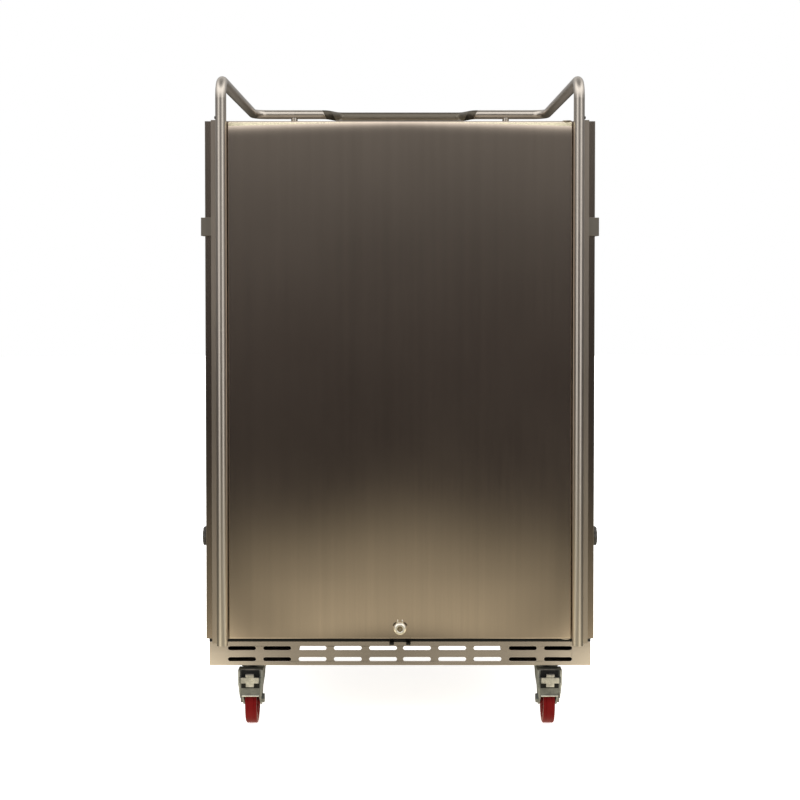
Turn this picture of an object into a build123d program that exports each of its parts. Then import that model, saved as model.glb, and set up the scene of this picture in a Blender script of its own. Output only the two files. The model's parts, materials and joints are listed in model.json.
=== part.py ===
from build123d import *
import math
import os

# Proofing cabinet: an insulated stainless box on four casters, with one full-width front door,
# a tubular push rail over the roof, shelves, a circulating fan, a ring heater and a water pan.
# Frame: +Z up, the door faces -Y, origin on the floor under the centre of the overall box.
# All sizes are in millimetres.

# ---- driving dimensions ---------------------------------------------------------------------
BODY_HALF_W = 395.0       # half the width over the side panels
BODY_FRONT = -350.0       # front plane of the insulated body
BODY_BACK = 400.0         # rear plane of the insulated body
BODY_BOTTOM = 183.0
BODY_TOP = 1236.0
SKIN = 1.5                # outer sheet thickness
LINER = 1.0               # inner sheet thickness
WALL = 45.0               # insulation thickness, sides, roof and floor
WALL_BACK = 30.0          # insulation thickness at the back
CONTACT_GAP = 0.3         # air between faces of two bodies that move past each other
RUN_FIT = 0.05            # radial clearance of a shaft in its hole

OPENING_HALF_W = 300.0    # face frame opening
OPENING_BOTTOM = 235.0
OPENING_TOP = 1188.0

DOOR_HALF_W = 344.0
DOOR_FRONT = -398.0
DOOR_BOTTOM = 194.0
DOOR_TOP = 1231.0
DOOR_DEPTH = 44.0
GASKET = 3.7              # gasket thickness between the door and the face frame
HINGE_X = 334.0
HINGE_Y = DOOR_FRONT + 10.0
PIVOT_R = 4.0
HINGE_PLATE = 2.0
HINGE_ARM_R = 9.0         # half the width of a hinge arm, and its rounded end
HINGE_GAP = 0.8           # air between the door and each hinge arm
PIVOT_DEPTH = 20.0        # how far each pin reaches into the door

POST_IN = 350.0           # corner post, inner and outer faces
POST_OUT = 378.0
POST_FRONT = -394.0
POST_TOP = 1234.5

TUBE_R = 11.0             # push rail tube
TUBE_WALL = 1.5
TUBE_X = 356.5
TUBE_Y = -407.0
TUBE_BOTTOM = 182.0
TUBE_END = 3.0            # closed lower end of each post tube
TUBE_STUD_R = 5.0
TUBE_STUD_INSET = 60.0    # from the ends of the body to the outer studs
SPIGOT_DEPTH = 30.0
SPIGOT_COLLAR = 6.0
TUBE_JOINT_Z = 1232.0     # where the rail's leg plugs into its post
RAIL_Z = 1313.0
RAIL_BEND = 36.0
RAIL_REAR_Y = 345.0
STANCHION_X = 258.0
STANCHION_R = 8.0
FLANGE_T = 3.0
JOG_X = 178.0             # where the rear rail starts to step back
GRIP_X = 152.5            # where the grip starts
GRIP_Y = 405.0
JOG_BEND = 22.0

PLINTH_HALF_W = 389.0
PLINTH_BOTTOM = 128.0
PLINTH_TOP = 177.0
PLINTH_T = 2.0
SLOT_LENGTH = 56.6
SLOT_HEIGHT = 8.0
SLOT_FIRST_X = 34.6       # centre of the slot nearest the middle
SLOT_PITCH = 72.0
SLOTS_PER_SIDE = 5
SLOT_ROWS_Z = (140.7, 163.3)
CHANNEL_IN = 214.0
CHANNEL_OUT = 385.0

CASTER_X = 304.5
CASTER_FRONT_Y = -272.0
CASTER_REAR_Y = 322.0
CASTER_TRAIL = 35.0       # the wheel's axis stands this far in front of the swivel axis
WHEEL_R = 50.0
WHEEL_W = 25.0
WHEEL_ROUND = 5.0
WHEEL_RIM = 12.0          # tread and rim outside the dished faces
WHEEL_DISH = 4.5
BOSS_R = 12.0
AXLE_R = 5.0
KINGPIN_R = 6.0
FORK_HALF_IN = 18.5       # inner faces of the legs at the crown
FORK_HALF_AXLE = 16.0     # and at the axle, where the legs come in
FORK_LEG = 3.5
APRON_DY = -56.0          # front apron from the wheel's axis
APRON_T = 3.0
APRON_BOTTOM = 68.0
APRON_BEND_Z = 88.0       # where the apron and the legs start to come in
CROWN_BOTTOM = 106.0
CROWN_TOP = 110.0
CROWN_REAR = 28.0         # the crown behind the swivel axis
FORK_RACE_R = 26.0
FORK_RACE_H = 6.0
PLATE_RACE_R = 24.0
PLATE_HALF_W = 42.0
PLATE_HALF_L = 52.0
HEX_ACROSS = 9.5          # corner radius of the axle's head and nut
HEX_T = 5.0
PLATE_BOTTOM = 125.0
PEDAL_DY = -63.0          # pedal pin from the wheel's axis
PEDAL_Z = 103.0
PEDAL_PIN_R = 3.0

LOCK_Z = 214.0
LOCK_RING_R = 12.7
PLUG_R = 5.5
CAM_Y = -382.0
CAM_LENGTH = 30.0
KEEPER_HALF_W = 28.0
KEEPER_SLOT = (-10.0, 24.0)
KEEPER_LEG_X = 17.0
KEEPER_LEG_HALF = 4.4
KEEPER_LEG_DROP = 6.0     # below the top of the base plate

BRACKET_Z = 1022.5
BRACKET_H = 37.0
BRACKET_OUT = 402.6
VENT_Y = -322.0
VENT_Z = 389.5
VENT_STUD_R = 4.0
VENT_STUD_L = 4.5
VENT_KNOB_T = 8.2
VENT_KNOB_R = 17.5
VENT_LOBE_R = 3.0
VENT_LOBES = 10

SHELF_HALF_W = 295.0
SHELF_FRONT = -332.0
SHELF_BACK = 314.0
SHELF_FIRST_Z = 330.0
SHELF_PITCH = 105.0
SHELF_COUNT = 8
SHELF_T = 1.0
RUNNER_IN = 280.0
UPRIGHT_IN = 332.0

BAFFLE_Y = 320.0
FAN_Z = 760.0
FAN_R = 90.0
FAN_SHAFT_R = 4.0
MOTOR_R = 38.0
HEATER_R = 130.0
HEATER_TUBE_R = 4.0

BOX_HALF_W = 150.0        # control box on the roof
BOX_FRONT = 190.0
BOX_BACK = 325.0
BOX_TOP = 1286.0
DIAL_X = -90.0
DIAL_R = 15.0
DIAL_STUD_R = 3.0
SWITCH_X = 10.0
SWITCH_PIN_R = 1.5
INLET_X = 105.0
LAMP_XS = (-45.0, -28.0)
LAMP_R = 4.0
BUFFER_DEPTH = 18.0
BUFFER_R = 20.0

# ---- sizes that follow ----------------------------------------------------------------------
CAVITY_HALF_W = BODY_HALF_W - SKIN - WALL          # outer face of the liner
CAVITY_BOTTOM = BODY_BOTTOM + SKIN + WALL
CAVITY_TOP = BODY_TOP - SKIN - WALL
CAVITY_BACK = BODY_BACK - SKIN - WALL_BACK
CAVITY_FRONT = BODY_FRONT + SKIN
LINER_FLOOR = CAVITY_BOTTOM + LINER
STUD_ZS = (BODY_BOTTOM + TUBE_STUD_INSET, (BODY_BOTTOM + BODY_TOP) / 2,
           BODY_TOP - TUBE_STUD_INSET)
WHEEL_Z = WHEEL_R
DOOR_BACK = DOOR_FRONT + DOOR_DEPTH
PANEL_Z = (BODY_TOP + BOX_TOP) / 2                 # height of the controls on their box


# ---- helpers --------------------------------------------------------------------------------
def block(x0, x1, y0, y1, z0, z1):
    """A box between two corners."""
    size = Box(x1 - x0, y1 - y0, z1 - z0)
    return Pos((x0 + x1) / 2, (y0 + y1) / 2, (z0 + z1) / 2) * size


def rod_x(x0, x1, y, z, radius):
    """A round bar along X."""
    return Pos((x0 + x1) / 2, y, z) * Rot(0, 90, 0) * Cylinder(radius, x1 - x0)


def rod_y(x, y0, y1, z, radius):
    """A round bar along Y."""
    return Pos(x, (y0 + y1) / 2, z) * Rot(90, 0, 0) * Cylinder(radius, y1 - y0)


def rod_z(x, y, z0, z1, radius):
    """A round bar along Z."""
    return Pos(x, y, (z0 + z1) / 2) * Cylinder(radius, z1 - z0)


def one(shape):
    """The single solid of a fused shape."""
    return shape.solids()[0]


def group(shapes):
    """Separate solids kept together in one node."""
    return Compound(children=[one(shape) for shape in shapes])


def mirrored(shape):
    """The same piece on the other side of the cabinet."""
    return mirror(shape, about=Plane.YZ)


def side_x(side, near, far):
    """An interval of X on one side, low end first."""
    low, high = sorted((side * near, side * far))
    return low, high


# ---- insulated body -------------------------------------------------------------------------
def side_panel(side):
    """Outer sheet of one side, with the stud that its vent knob turns on."""
    low, high = side_x(side, BODY_HALF_W - SKIN, BODY_HALF_W)
    sheet = block(low, high, BODY_FRONT, BODY_BACK, BODY_BOTTOM, BODY_TOP)
    low, high = side_x(side, BODY_HALF_W, BODY_HALF_W + VENT_STUD_L)
    stud = rod_x(low, high, VENT_Y, VENT_Z, VENT_STUD_R)
    return sheet + stud


def roof_panel():
    inner = BODY_HALF_W - SKIN
    return block(-inner, inner, BODY_FRONT, BODY_BACK, BODY_TOP - SKIN, BODY_TOP)


def back_panel():
    inner = BODY_HALF_W - SKIN
    return block(-inner, inner, BODY_BACK - SKIN, BODY_BACK, BODY_BOTTOM + SKIN, BODY_TOP - SKIN)


def base_pan():
    inner = BODY_HALF_W - SKIN
    return block(-inner, inner, BODY_FRONT, BODY_BACK, BODY_BOTTOM, BODY_BOTTOM + SKIN)


def face_frame():
    """Front sheet round the chamber's opening."""
    inner = BODY_HALF_W - SKIN
    sheet = block(-inner, inner, BODY_FRONT, CAVITY_FRONT, BODY_BOTTOM + SKIN, BODY_TOP - SKIN)
    hole = block(-OPENING_HALF_W, OPENING_HALF_W, BODY_FRONT - 1, CAVITY_FRONT + 1,
                 OPENING_BOTTOM, OPENING_TOP)
    return sheet - hole


def liner():
    """Five inner sheets of the chamber."""
    half = CAVITY_HALF_W
    shaft_hole = rod_y(0, CAVITY_BACK - 5, CAVITY_BACK + 5, FAN_Z, FAN_SHAFT_R + 2)
    terminals = [rod_y(x, CAVITY_BACK - 5, CAVITY_BACK + 5, FAN_Z - HEATER_R, HEATER_TUBE_R)
                 for x in (-20, 20)]
    back = block(-half + LINER, half - LINER, CAVITY_BACK - LINER, CAVITY_BACK,
                 LINER_FLOOR, CAVITY_TOP - LINER)
    back = back - shaft_hole - terminals[0] - terminals[1]
    return group([
        block(-half, -half + LINER, CAVITY_FRONT, CAVITY_BACK, LINER_FLOOR, CAVITY_TOP - LINER),
        block(half - LINER, half, CAVITY_FRONT, CAVITY_BACK, LINER_FLOOR, CAVITY_TOP - LINER),
        block(-half, half, CAVITY_FRONT, CAVITY_BACK, CAVITY_BOTTOM, LINER_FLOOR),
        block(-half, half, CAVITY_FRONT, CAVITY_BACK, CAVITY_TOP - LINER, CAVITY_TOP),
        back,
    ])


def insulation():
    """Five slabs between the outer sheets and the liner."""
    inner = BODY_HALF_W - SKIN
    half = CAVITY_HALF_W
    bottom = BODY_BOTTOM + SKIN
    top = BODY_TOP - SKIN
    rear = BODY_BACK - SKIN
    slab = block(-half, half, CAVITY_BACK, rear, CAVITY_BOTTOM, CAVITY_TOP)
    slab = slab - rod_y(0, CAVITY_BACK - 1, rear + 1, FAN_Z, MOTOR_R)
    for x in (-20, 20):
        slab = slab - rod_y(x, CAVITY_BACK - 1, rear + 1, FAN_Z - HEATER_R, HEATER_TUBE_R)
    return group([
        block(-inner, -half, CAVITY_FRONT, rear, CAVITY_BOTTOM, CAVITY_TOP),
        block(half, inner, CAVITY_FRONT, rear, CAVITY_BOTTOM, CAVITY_TOP),
        block(-inner, inner, CAVITY_FRONT, rear, bottom, CAVITY_BOTTOM),
        block(-inner, inner, CAVITY_FRONT, rear, CAVITY_TOP, top),
        slab,
    ])


def corner_posts():
    """Rectangular tubes beside the door, closed at the top and open below."""
    posts = []
    for side in (-1, 1):
        low, high = side_x(side, POST_IN, POST_OUT)
        post = block(low, high, POST_FRONT, BODY_FRONT, BODY_BOTTOM, POST_TOP)
        posts.append(post - block(low + SKIN, high - SKIN, POST_FRONT + SKIN, BODY_FRONT - SKIN,
                                  BODY_BOTTOM - 1, POST_TOP - SKIN))
    return group(posts)


# ---- push rail ------------------------------------------------------------------------------
def rail_post(side):
    """Upright tube on three welded studs in front of its corner post."""
    x = side * TUBE_X
    tube = rod_z(x, TUBE_Y, TUBE_BOTTOM, TUBE_JOINT_Z, TUBE_R)
    for z in STUD_ZS:
        tube = tube + rod_y(x, TUBE_Y, POST_FRONT, z, TUBE_STUD_R)
    bore = rod_z(x, TUBE_Y, TUBE_BOTTOM + TUBE_END, TUBE_JOINT_Z + 1, TUBE_R - TUBE_WALL)
    return tube - bore


def swept_tube(points, radii):
    """A round tube along straight runs joined by arcs."""
    path = FilletPolyline(*points, radius=radii)
    start = Plane(origin=path @ 0, z_dir=path % 0)
    outer = sweep(start * Circle(TUBE_R), path=path)
    inner = sweep(start * Circle(TUBE_R - TUBE_WALL), path=path)
    return outer - inner


def side_rail(side):
    """Leg, front bend, side run and rear corner of the rail, with the spigot that plugs in."""
    x = side * TUBE_X
    points = [(x, TUBE_Y, TUBE_JOINT_Z), (x, TUBE_Y, RAIL_Z), (x, RAIL_REAR_Y, RAIL_Z),
              (side * STANCHION_X, RAIL_REAR_Y, RAIL_Z)]
    rail = swept_tube(points, [RAIL_BEND, RAIL_BEND])
    spigot_r = TUBE_R - TUBE_WALL - RUN_FIT
    collar_top = TUBE_JOINT_Z + SPIGOT_COLLAR
    spigot = rod_z(x, TUBE_Y, TUBE_JOINT_Z - SPIGOT_DEPTH, collar_top, spigot_r)
    collar = rod_z(x, TUBE_Y, TUBE_JOINT_Z, collar_top, TUBE_R - TUBE_WALL / 2)
    return rail + spigot + collar


def push_rail():
    """Rear run of the rail, stepping back to the grip in its middle."""
    points = [(-STANCHION_X, RAIL_REAR_Y, RAIL_Z), (-JOG_X, RAIL_REAR_Y, RAIL_Z),
              (-GRIP_X, GRIP_Y, RAIL_Z), (GRIP_X, GRIP_Y, RAIL_Z),
              (JOG_X, RAIL_REAR_Y, RAIL_Z), (STANCHION_X, RAIL_REAR_Y, RAIL_Z)]
    return swept_tube(points, [JOG_BEND] * 4)


def rail_stanchions():
    """Two short legs between the roof and the rear rail."""
    legs = []
    for side in (-1, 1):
        x = side * STANCHION_X
        leg = rod_z(x, RAIL_REAR_Y, BODY_TOP, RAIL_Z, STANCHION_R)
        leg = leg + rod_z(x, RAIL_REAR_Y, BODY_TOP, BODY_TOP + FLANGE_T, 2 * STANCHION_R)
        reach = 2 * STANCHION_R
        legs.append(leg - rod_x(x - reach, x + reach, RAIL_REAR_Y, RAIL_Z, TUBE_R))
    return group(legs)


# ---- base -----------------------------------------------------------------------------------
def plinth_front():
    """Base plate with two rows of round-ended air slots."""
    plate = block(-PLINTH_HALF_W, PLINTH_HALF_W, BODY_FRONT, BODY_FRONT + PLINTH_T,
                  PLINTH_BOTTOM, PLINTH_TOP)
    outline = Plane.XZ.offset(-BODY_FRONT + 1) * SlotOverall(SLOT_LENGTH, SLOT_HEIGHT)
    cutter = extrude(outline, amount=PLINTH_T + 4, dir=(0, 1, 0))
    for row_z in SLOT_ROWS_Z:
        for number in range(SLOTS_PER_SIDE):
            x = SLOT_FIRST_X + number * SLOT_PITCH
            plate = plate - Pos(x, 0, row_z) * cutter - Pos(-x, 0, row_z) * cutter
    return plate


def plinth_back():
    return block(-PLINTH_HALF_W, PLINTH_HALF_W, BODY_BACK - PLINTH_T, BODY_BACK,
                 PLINTH_BOTTOM, PLINTH_TOP)


def caster_channels():
    """Two box sections, front to back, that carry the casters."""
    sections = []
    for side in (-1, 1):
        low, high = side_x(side, CHANNEL_IN, CHANNEL_OUT)
        front = BODY_FRONT + PLINTH_T
        rear = BODY_BACK - PLINTH_T
        outer = block(low, high, front, rear, PLINTH_BOTTOM, BODY_BOTTOM)
        bore = block(low + 2, high - 2, front - 1, rear + 1, PLINTH_BOTTOM + 2, BODY_BOTTOM - 2)
        sections.append(outer - bore)
    return group(sections)


def drip_seal():
    """Black strip that closes the gap between the body and the base plate."""
    return block(-PLINTH_HALF_W, PLINTH_HALF_W, BODY_FRONT, BODY_FRONT + PLINTH_T,
                 PLINTH_TOP, BODY_BOTTOM)


# ---- casters --------------------------------------------------------------------------------
def caster_plates(places):
    """Top plates with the race and the kingpin that each fork turns on."""
    plates = []
    for x, y in places:
        plate = block(x - PLATE_HALF_W, x + PLATE_HALF_W, y - PLATE_HALF_L, y + PLATE_HALF_L,
                      PLATE_BOTTOM, PLINTH_BOTTOM)
        race_bottom = CROWN_TOP + FORK_RACE_H + CONTACT_GAP
        plate = plate + rod_z(x, y, race_bottom, PLATE_BOTTOM, PLATE_RACE_R)
        plate = plate + rod_z(x, y, CROWN_BOTTOM - 3, PLATE_BOTTOM, KINGPIN_R)
        plates.append(plate)
    return group(plates)


def fork_legs():
    """Two legs that come in towards the axle, about the wheel's axis at X = 0, Y = 0."""
    crown = FORK_HALF_IN
    near = FORK_HALF_AXLE
    front = Polyline((crown, CROWN_BOTTOM + 1), (crown + FORK_LEG, CROWN_BOTTOM + 1),
                     (crown + FORK_LEG, APRON_BEND_Z), (near + FORK_LEG, APRON_BOTTOM),
                     (near + FORK_LEG, 0), (near, 0), (near, APRON_BOTTOM),
                     (crown, APRON_BEND_Z), close=True)
    bar = extrude(Plane.XZ * make_face(front), amount=100, both=True)
    rear = CASTER_TRAIL + CROWN_REAR
    flank = Polyline((APRON_DY + 1, CROWN_BOTTOM + 1), (rear, CROWN_BOTTOM + 1),
                     (rear - 20, APRON_BEND_Z), (13, WHEEL_Z - 5), (0, WHEEL_Z - 13),
                     (-13, WHEEL_Z - 5), (APRON_DY + 1, APRON_BOTTOM + 6), close=True)
    plate = extrude(Plane.YZ * make_face(flank), amount=60, both=True)
    leg = bar & plate
    return leg + mirrored(leg)


def fork_apron():
    """Front plate between the legs, narrowing towards its lower edge."""
    half = FORK_HALF_IN + FORK_LEG
    low = FORK_HALF_AXLE + 2
    outline = Polyline((-half, CROWN_TOP), (half, CROWN_TOP), (half, APRON_BEND_Z),
                       (low, APRON_BOTTOM), (-low, APRON_BOTTOM), (-half, APRON_BEND_Z),
                       close=True)
    plate = extrude(Plane.XZ * make_face(outline), amount=APRON_T)
    return Pos(0, APRON_DY + APRON_T, 0) * plate


def fork(x, y, braked):
    """Crown, race ring, legs and apron; a braked fork carries the pedal's pin in two lugs."""
    half = FORK_HALF_IN + FORK_LEG
    crown = block(-half, half, APRON_DY, CASTER_TRAIL + CROWN_REAR, CROWN_BOTTOM, CROWN_TOP)
    body = crown + rod_z(0, CASTER_TRAIL, CROWN_TOP, CROWN_TOP + FORK_RACE_H, FORK_RACE_R)
    body = body + fork_legs() + fork_apron()
    body = body - rod_z(0, CASTER_TRAIL, CROWN_BOTTOM - 1, CROWN_TOP + 8, KINGPIN_R + RUN_FIT)
    body = body - rod_x(-half - 1, half + 1, 0, WHEEL_Z, AXLE_R)
    if braked:
        for lug_x in (-half + 1.5, half - 1.5):
            body = body + block(lug_x - 1.5, lug_x + 1.5, PEDAL_DY - 4, APRON_DY + 1,
                                PEDAL_Z - 5, PEDAL_Z + 5)
        body = body + rod_x(-half + 1, half - 1, PEDAL_DY, PEDAL_Z, PEDAL_PIN_R)
    return Pos(x, y - CASTER_TRAIL, 0) * body


def axle(x, y):
    """Bolt with its head and nut outside the fork's legs."""
    half = FORK_HALF_AXLE + FORK_LEG
    axle_y = y - CASTER_TRAIL
    bolt = rod_x(x - half - HEX_T, x + half + HEX_T, axle_y, WHEEL_Z, AXLE_R)
    hexagon = extrude(Plane.YZ * RegularPolygon(HEX_ACROSS, 6), amount=HEX_T)
    bolt = bolt + Pos(x + half, axle_y, WHEEL_Z) * hexagon
    return bolt + Pos(x - half - HEX_T, axle_y, WHEEL_Z) * hexagon


def wheel(x, y):
    """Moulded red wheel with rounded shoulders, dished faces and a boss."""
    disc = extrude(Plane.YZ * Circle(WHEEL_R), amount=WHEEL_W / 2, both=True)
    disc = fillet(disc.edges(), WHEEL_ROUND)
    dish = extrude(Plane.YZ * Circle(WHEEL_R - WHEEL_RIM), amount=WHEEL_DISH)
    face = WHEEL_W / 2
    disc = disc - Pos(face - WHEEL_DISH, 0, 0) * dish - Pos(-face, 0, 0) * dish
    boss = FORK_HALF_AXLE - 0.5
    disc = disc + rod_x(-boss, boss, 0, 0, BOSS_R)
    disc = disc - rod_x(-boss - 1, boss + 1, 0, 0, AXLE_R + RUN_FIT)
    return Pos(x, y - CASTER_TRAIL, WHEEL_Z) * disc


def brake_pedal(x, y):
    """Cross-shaped tread plate, leaning forward, on a barrel that turns on the fork's pin."""
    reach = FORK_HALF_IN - 0.5
    barrel = rod_x(-reach, reach, 0, 0, PEDAL_PIN_R + 2)
    upright = block(-8, 8, -7, -3.5, -13, 13)
    tread = block(-18, 18, -9, -3.5, -5, 6)
    lip = block(-8, 8, -15, -5, 10, 13)
    bore = rod_x(-reach - 1, reach + 1, 0, 0, PEDAL_PIN_R + RUN_FIT)
    pedal = barrel + upright + tread + lip - bore
    return Pos(x, y - CASTER_TRAIL + PEDAL_DY, PEDAL_Z) * pedal


# ---- door -----------------------------------------------------------------------------------
def door_skin():
    """Outer pan of the door: a front sheet with four returned edges."""
    pan = block(-DOOR_HALF_W, DOOR_HALF_W, DOOR_FRONT, DOOR_BACK, DOOR_BOTTOM, DOOR_TOP)
    inside = block(-DOOR_HALF_W + SKIN, DOOR_HALF_W - SKIN, DOOR_FRONT + SKIN, DOOR_BACK + 1,
                   DOOR_BOTTOM + SKIN, DOOR_TOP - SKIN)
    pan = pan - inside - rod_y(0, DOOR_FRONT - 1, DOOR_BACK, LOCK_Z, PLUG_R + RUN_FIT)
    pan = pan - block(-9, CAM_LENGTH, CAM_Y - 3, CAM_Y + 7, DOOR_BOTTOM - 1, DOOR_BOTTOM + SKIN + 1)
    for z in (DOOR_BOTTOM, DOOR_TOP - SKIN):
        pan = pan - rod_z(HINGE_X, HINGE_Y, z - 1, z + SKIN + 1, PIVOT_R)
    return pan


def door_core():
    """Insulation slab of the door, hollowed round the lock and the pivots."""
    gap = SKIN
    core = block(-DOOR_HALF_W + gap, DOOR_HALF_W - gap, DOOR_FRONT + gap, DOOR_BACK - SKIN,
                 DOOR_BOTTOM + gap, DOOR_TOP - gap)
    core = core - block(-36, 36, DOOR_FRONT, DOOR_BACK, DOOR_BOTTOM, LOCK_Z + 36)
    for z in (DOOR_BOTTOM, DOOR_TOP - PIVOT_DEPTH):
        core = core - rod_z(HINGE_X, HINGE_Y, z - 1, z + PIVOT_DEPTH + 1, PIVOT_R)
    return core


def door_liner():
    """Rear sheet that closes the door's pan."""
    return block(-DOOR_HALF_W + SKIN, DOOR_HALF_W - SKIN, DOOR_BACK - SKIN, DOOR_BACK,
                 DOOR_BOTTOM + SKIN, DOOR_TOP - SKIN)


def door_gasket():
    """Soft seal round the opening, on the door's rear sheet."""
    band = 20
    half = OPENING_HALF_W + 5 + band
    low = OPENING_BOTTOM - 5 - band
    high = OPENING_TOP + 5 + band
    ring = block(-half, half, DOOR_BACK, DOOR_BACK + GASKET, low, high)
    return ring - block(-half + band, half - band, DOOR_BACK - 1, DOOR_BACK + GASKET + 1,
                        low + band, high - band)


def door_pivots():
    """Two plain pins, one at each end of the hinge edge."""
    out = HINGE_GAP + HINGE_PLATE + 0.4
    return group([
        rod_z(HINGE_X, HINGE_Y, DOOR_TOP - PIVOT_DEPTH, DOOR_TOP + out, PIVOT_R),
        rod_z(HINGE_X, HINGE_Y, DOOR_BOTTOM - out, DOOR_BOTTOM + PIVOT_DEPTH, PIVOT_R),
    ])


def hinge_brackets():
    """Round-ended arms on the face frame that hold the door's pins."""
    arms = []
    for z in (DOOR_TOP + HINGE_GAP, DOOR_BOTTOM - HINGE_GAP - HINGE_PLATE):
        top = z + HINGE_PLATE
        arm = block(HINGE_X - HINGE_ARM_R, HINGE_X + HINGE_ARM_R, HINGE_Y, BODY_FRONT, z, top)
        arm = arm + rod_z(HINGE_X, HINGE_Y, z, top, HINGE_ARM_R)
        arms.append(arm - rod_z(HINGE_X, HINGE_Y, z - 1, top + 1, PIVOT_R + RUN_FIT))
    return group(arms)


def lock_ring():
    """Bright collar of the lock, with two short guide prongs."""
    ring = rod_y(0, DOOR_FRONT - 6, DOOR_FRONT, LOCK_Z, LOCK_RING_R)
    for x in (-4.5, 4.5):
        ring = ring + block(x - 1, x + 1, DOOR_FRONT - 3, DOOR_FRONT, LOCK_Z + 10, LOCK_Z + 18)
    return ring - rod_y(0, DOOR_FRONT - 7, DOOR_FRONT + 1, LOCK_Z, PLUG_R + RUN_FIT)


def lock_plug():
    """Turning barrel with a key slot and a square tail."""
    plug = rod_y(0, DOOR_FRONT - 4, CAM_Y, LOCK_Z, PLUG_R)
    plug = plug - block(-0.9, 0.9, DOOR_FRONT - 6, DOOR_FRONT + 2, LOCK_Z - 4, LOCK_Z + 4)
    return plug + block(-3.5, 3.5, CAM_Y, CAM_Y + 6, LOCK_Z - 3.5, LOCK_Z + 3.5)


def lock_cam():
    """Flat cam on the plug's tail, lying sideways when the door is unlocked."""
    cam = block(-8, CAM_LENGTH, CAM_Y, CAM_Y + 4, LOCK_Z - 7, LOCK_Z + 7)
    return cam - block(-3.5, 3.5, CAM_Y - 1, CAM_Y + 5, LOCK_Z - 3.5, LOCK_Z + 3.5)


def lock_keeper():
    """Black two-legged keeper under the door, which the cam drops into."""
    body = block(-KEEPER_HALF_W, KEEPER_HALF_W, CAM_Y - 8, BODY_FRONT, PLINTH_TOP + 3,
                 DOOR_BOTTOM - 2)
    for x in (-KEEPER_LEG_X, KEEPER_LEG_X):
        body = body + block(x - KEEPER_LEG_HALF, x + KEEPER_LEG_HALF, BODY_FRONT - 6, BODY_FRONT,
                            PLINTH_TOP - KEEPER_LEG_DROP, PLINTH_TOP + 4)
    slot = block(*KEEPER_SLOT, CAM_Y - 2, CAM_Y + 6, PLINTH_TOP - 1, DOOR_BOTTOM)
    return body - slot


# ---- side fittings --------------------------------------------------------------------------
def side_brackets():
    """Angle straps that tie each corner post's flank to its side panel."""
    straps = []
    for side in (-1, 1):
        low, high = side_x(side, POST_OUT, BRACKET_OUT)
        z0 = BRACKET_Z - BRACKET_H / 2
        z1 = BRACKET_Z + BRACKET_H / 2
        strap = block(low, high, BODY_FRONT - 8, BODY_FRONT, z0, z1)
        low, high = side_x(side, BODY_HALF_W, BRACKET_OUT)
        straps.append(strap + block(low, high, BODY_FRONT - 8, BODY_FRONT + 50, z0, z1))
    return group(straps)


def vent_knob(side):
    """Lobed knob of the side air vent."""
    outline = Circle(VENT_KNOB_R)
    for number in range(VENT_LOBES):
        angle = math.radians(number * 360 / VENT_LOBES)
        place = Pos(VENT_KNOB_R * math.cos(angle), VENT_KNOB_R * math.sin(angle))
        outline = outline + place * Circle(VENT_LOBE_R)
    knob = extrude(Plane.YZ * outline, amount=VENT_KNOB_T)
    knob = knob - rod_x(-1, VENT_STUD_L + 0.2, 0, 0, VENT_STUD_R + RUN_FIT)
    place = Pos(BODY_HALF_W + CONTACT_GAP, VENT_Y, VENT_Z)
    placed = place * knob
    return placed if side > 0 else mirrored(placed)


def wall_buffers():
    """Four rubber stops on the back."""
    return group([rod_y(x, BODY_BACK, BODY_BACK + BUFFER_DEPTH, z, BUFFER_R)
                  for x in (-330, 330) for z in (300, 1150)])


# ---- chamber --------------------------------------------------------------------------------
def tray_rack(side):
    """Two uprights and a ladder of angle runners on one side wall."""
    wall = CAVITY_HALF_W - LINER
    low, high = side_x(side, UPRIGHT_IN, wall)
    rack = block(low, high, -258, -242, LINER_FLOOR, CAVITY_TOP - 10)
    rack = rack + block(low, high, 232, 248, LINER_FLOOR, CAVITY_TOP - 10)
    for number in range(SHELF_COUNT):
        z = SHELF_FIRST_Z + number * SHELF_PITCH
        low, high = side_x(side, RUNNER_IN, UPRIGHT_IN)
        rack = rack + block(low, high, SHELF_FRONT, SHELF_BACK, z - 1.5, z)
        low, high = side_x(side, UPRIGHT_IN - 1.5, UPRIGHT_IN)
        rack = rack + block(low, high, SHELF_FRONT, SHELF_BACK, z - 1.5, z + 16)
    return rack


def shelves():
    """Loose flat trays on the runners, each with two hemmed edges."""
    trays = []
    for number in range(SHELF_COUNT):
        z = SHELF_FIRST_Z + number * SHELF_PITCH
        tray = block(-SHELF_HALF_W, SHELF_HALF_W, SHELF_FRONT, SHELF_BACK, z, z + SHELF_T)
        for y in (SHELF_FRONT, SHELF_BACK - SHELF_T):
            tray = tray + block(-RUNNER_IN + 5, RUNNER_IN - 5, y, y + SHELF_T, z - 8, z + SHELF_T)
        trays.append(tray)
    return group(trays)


def water_pan():
    """Open humidity pan on the chamber's floor."""
    pan = block(-262, 262, -180, 145, LINER_FLOOR, LINER_FLOOR + 62)
    return pan - block(-260.5, 260.5, -178.5, 143.5, LINER_FLOOR + 1.5, LINER_FLOOR + 63)


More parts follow.
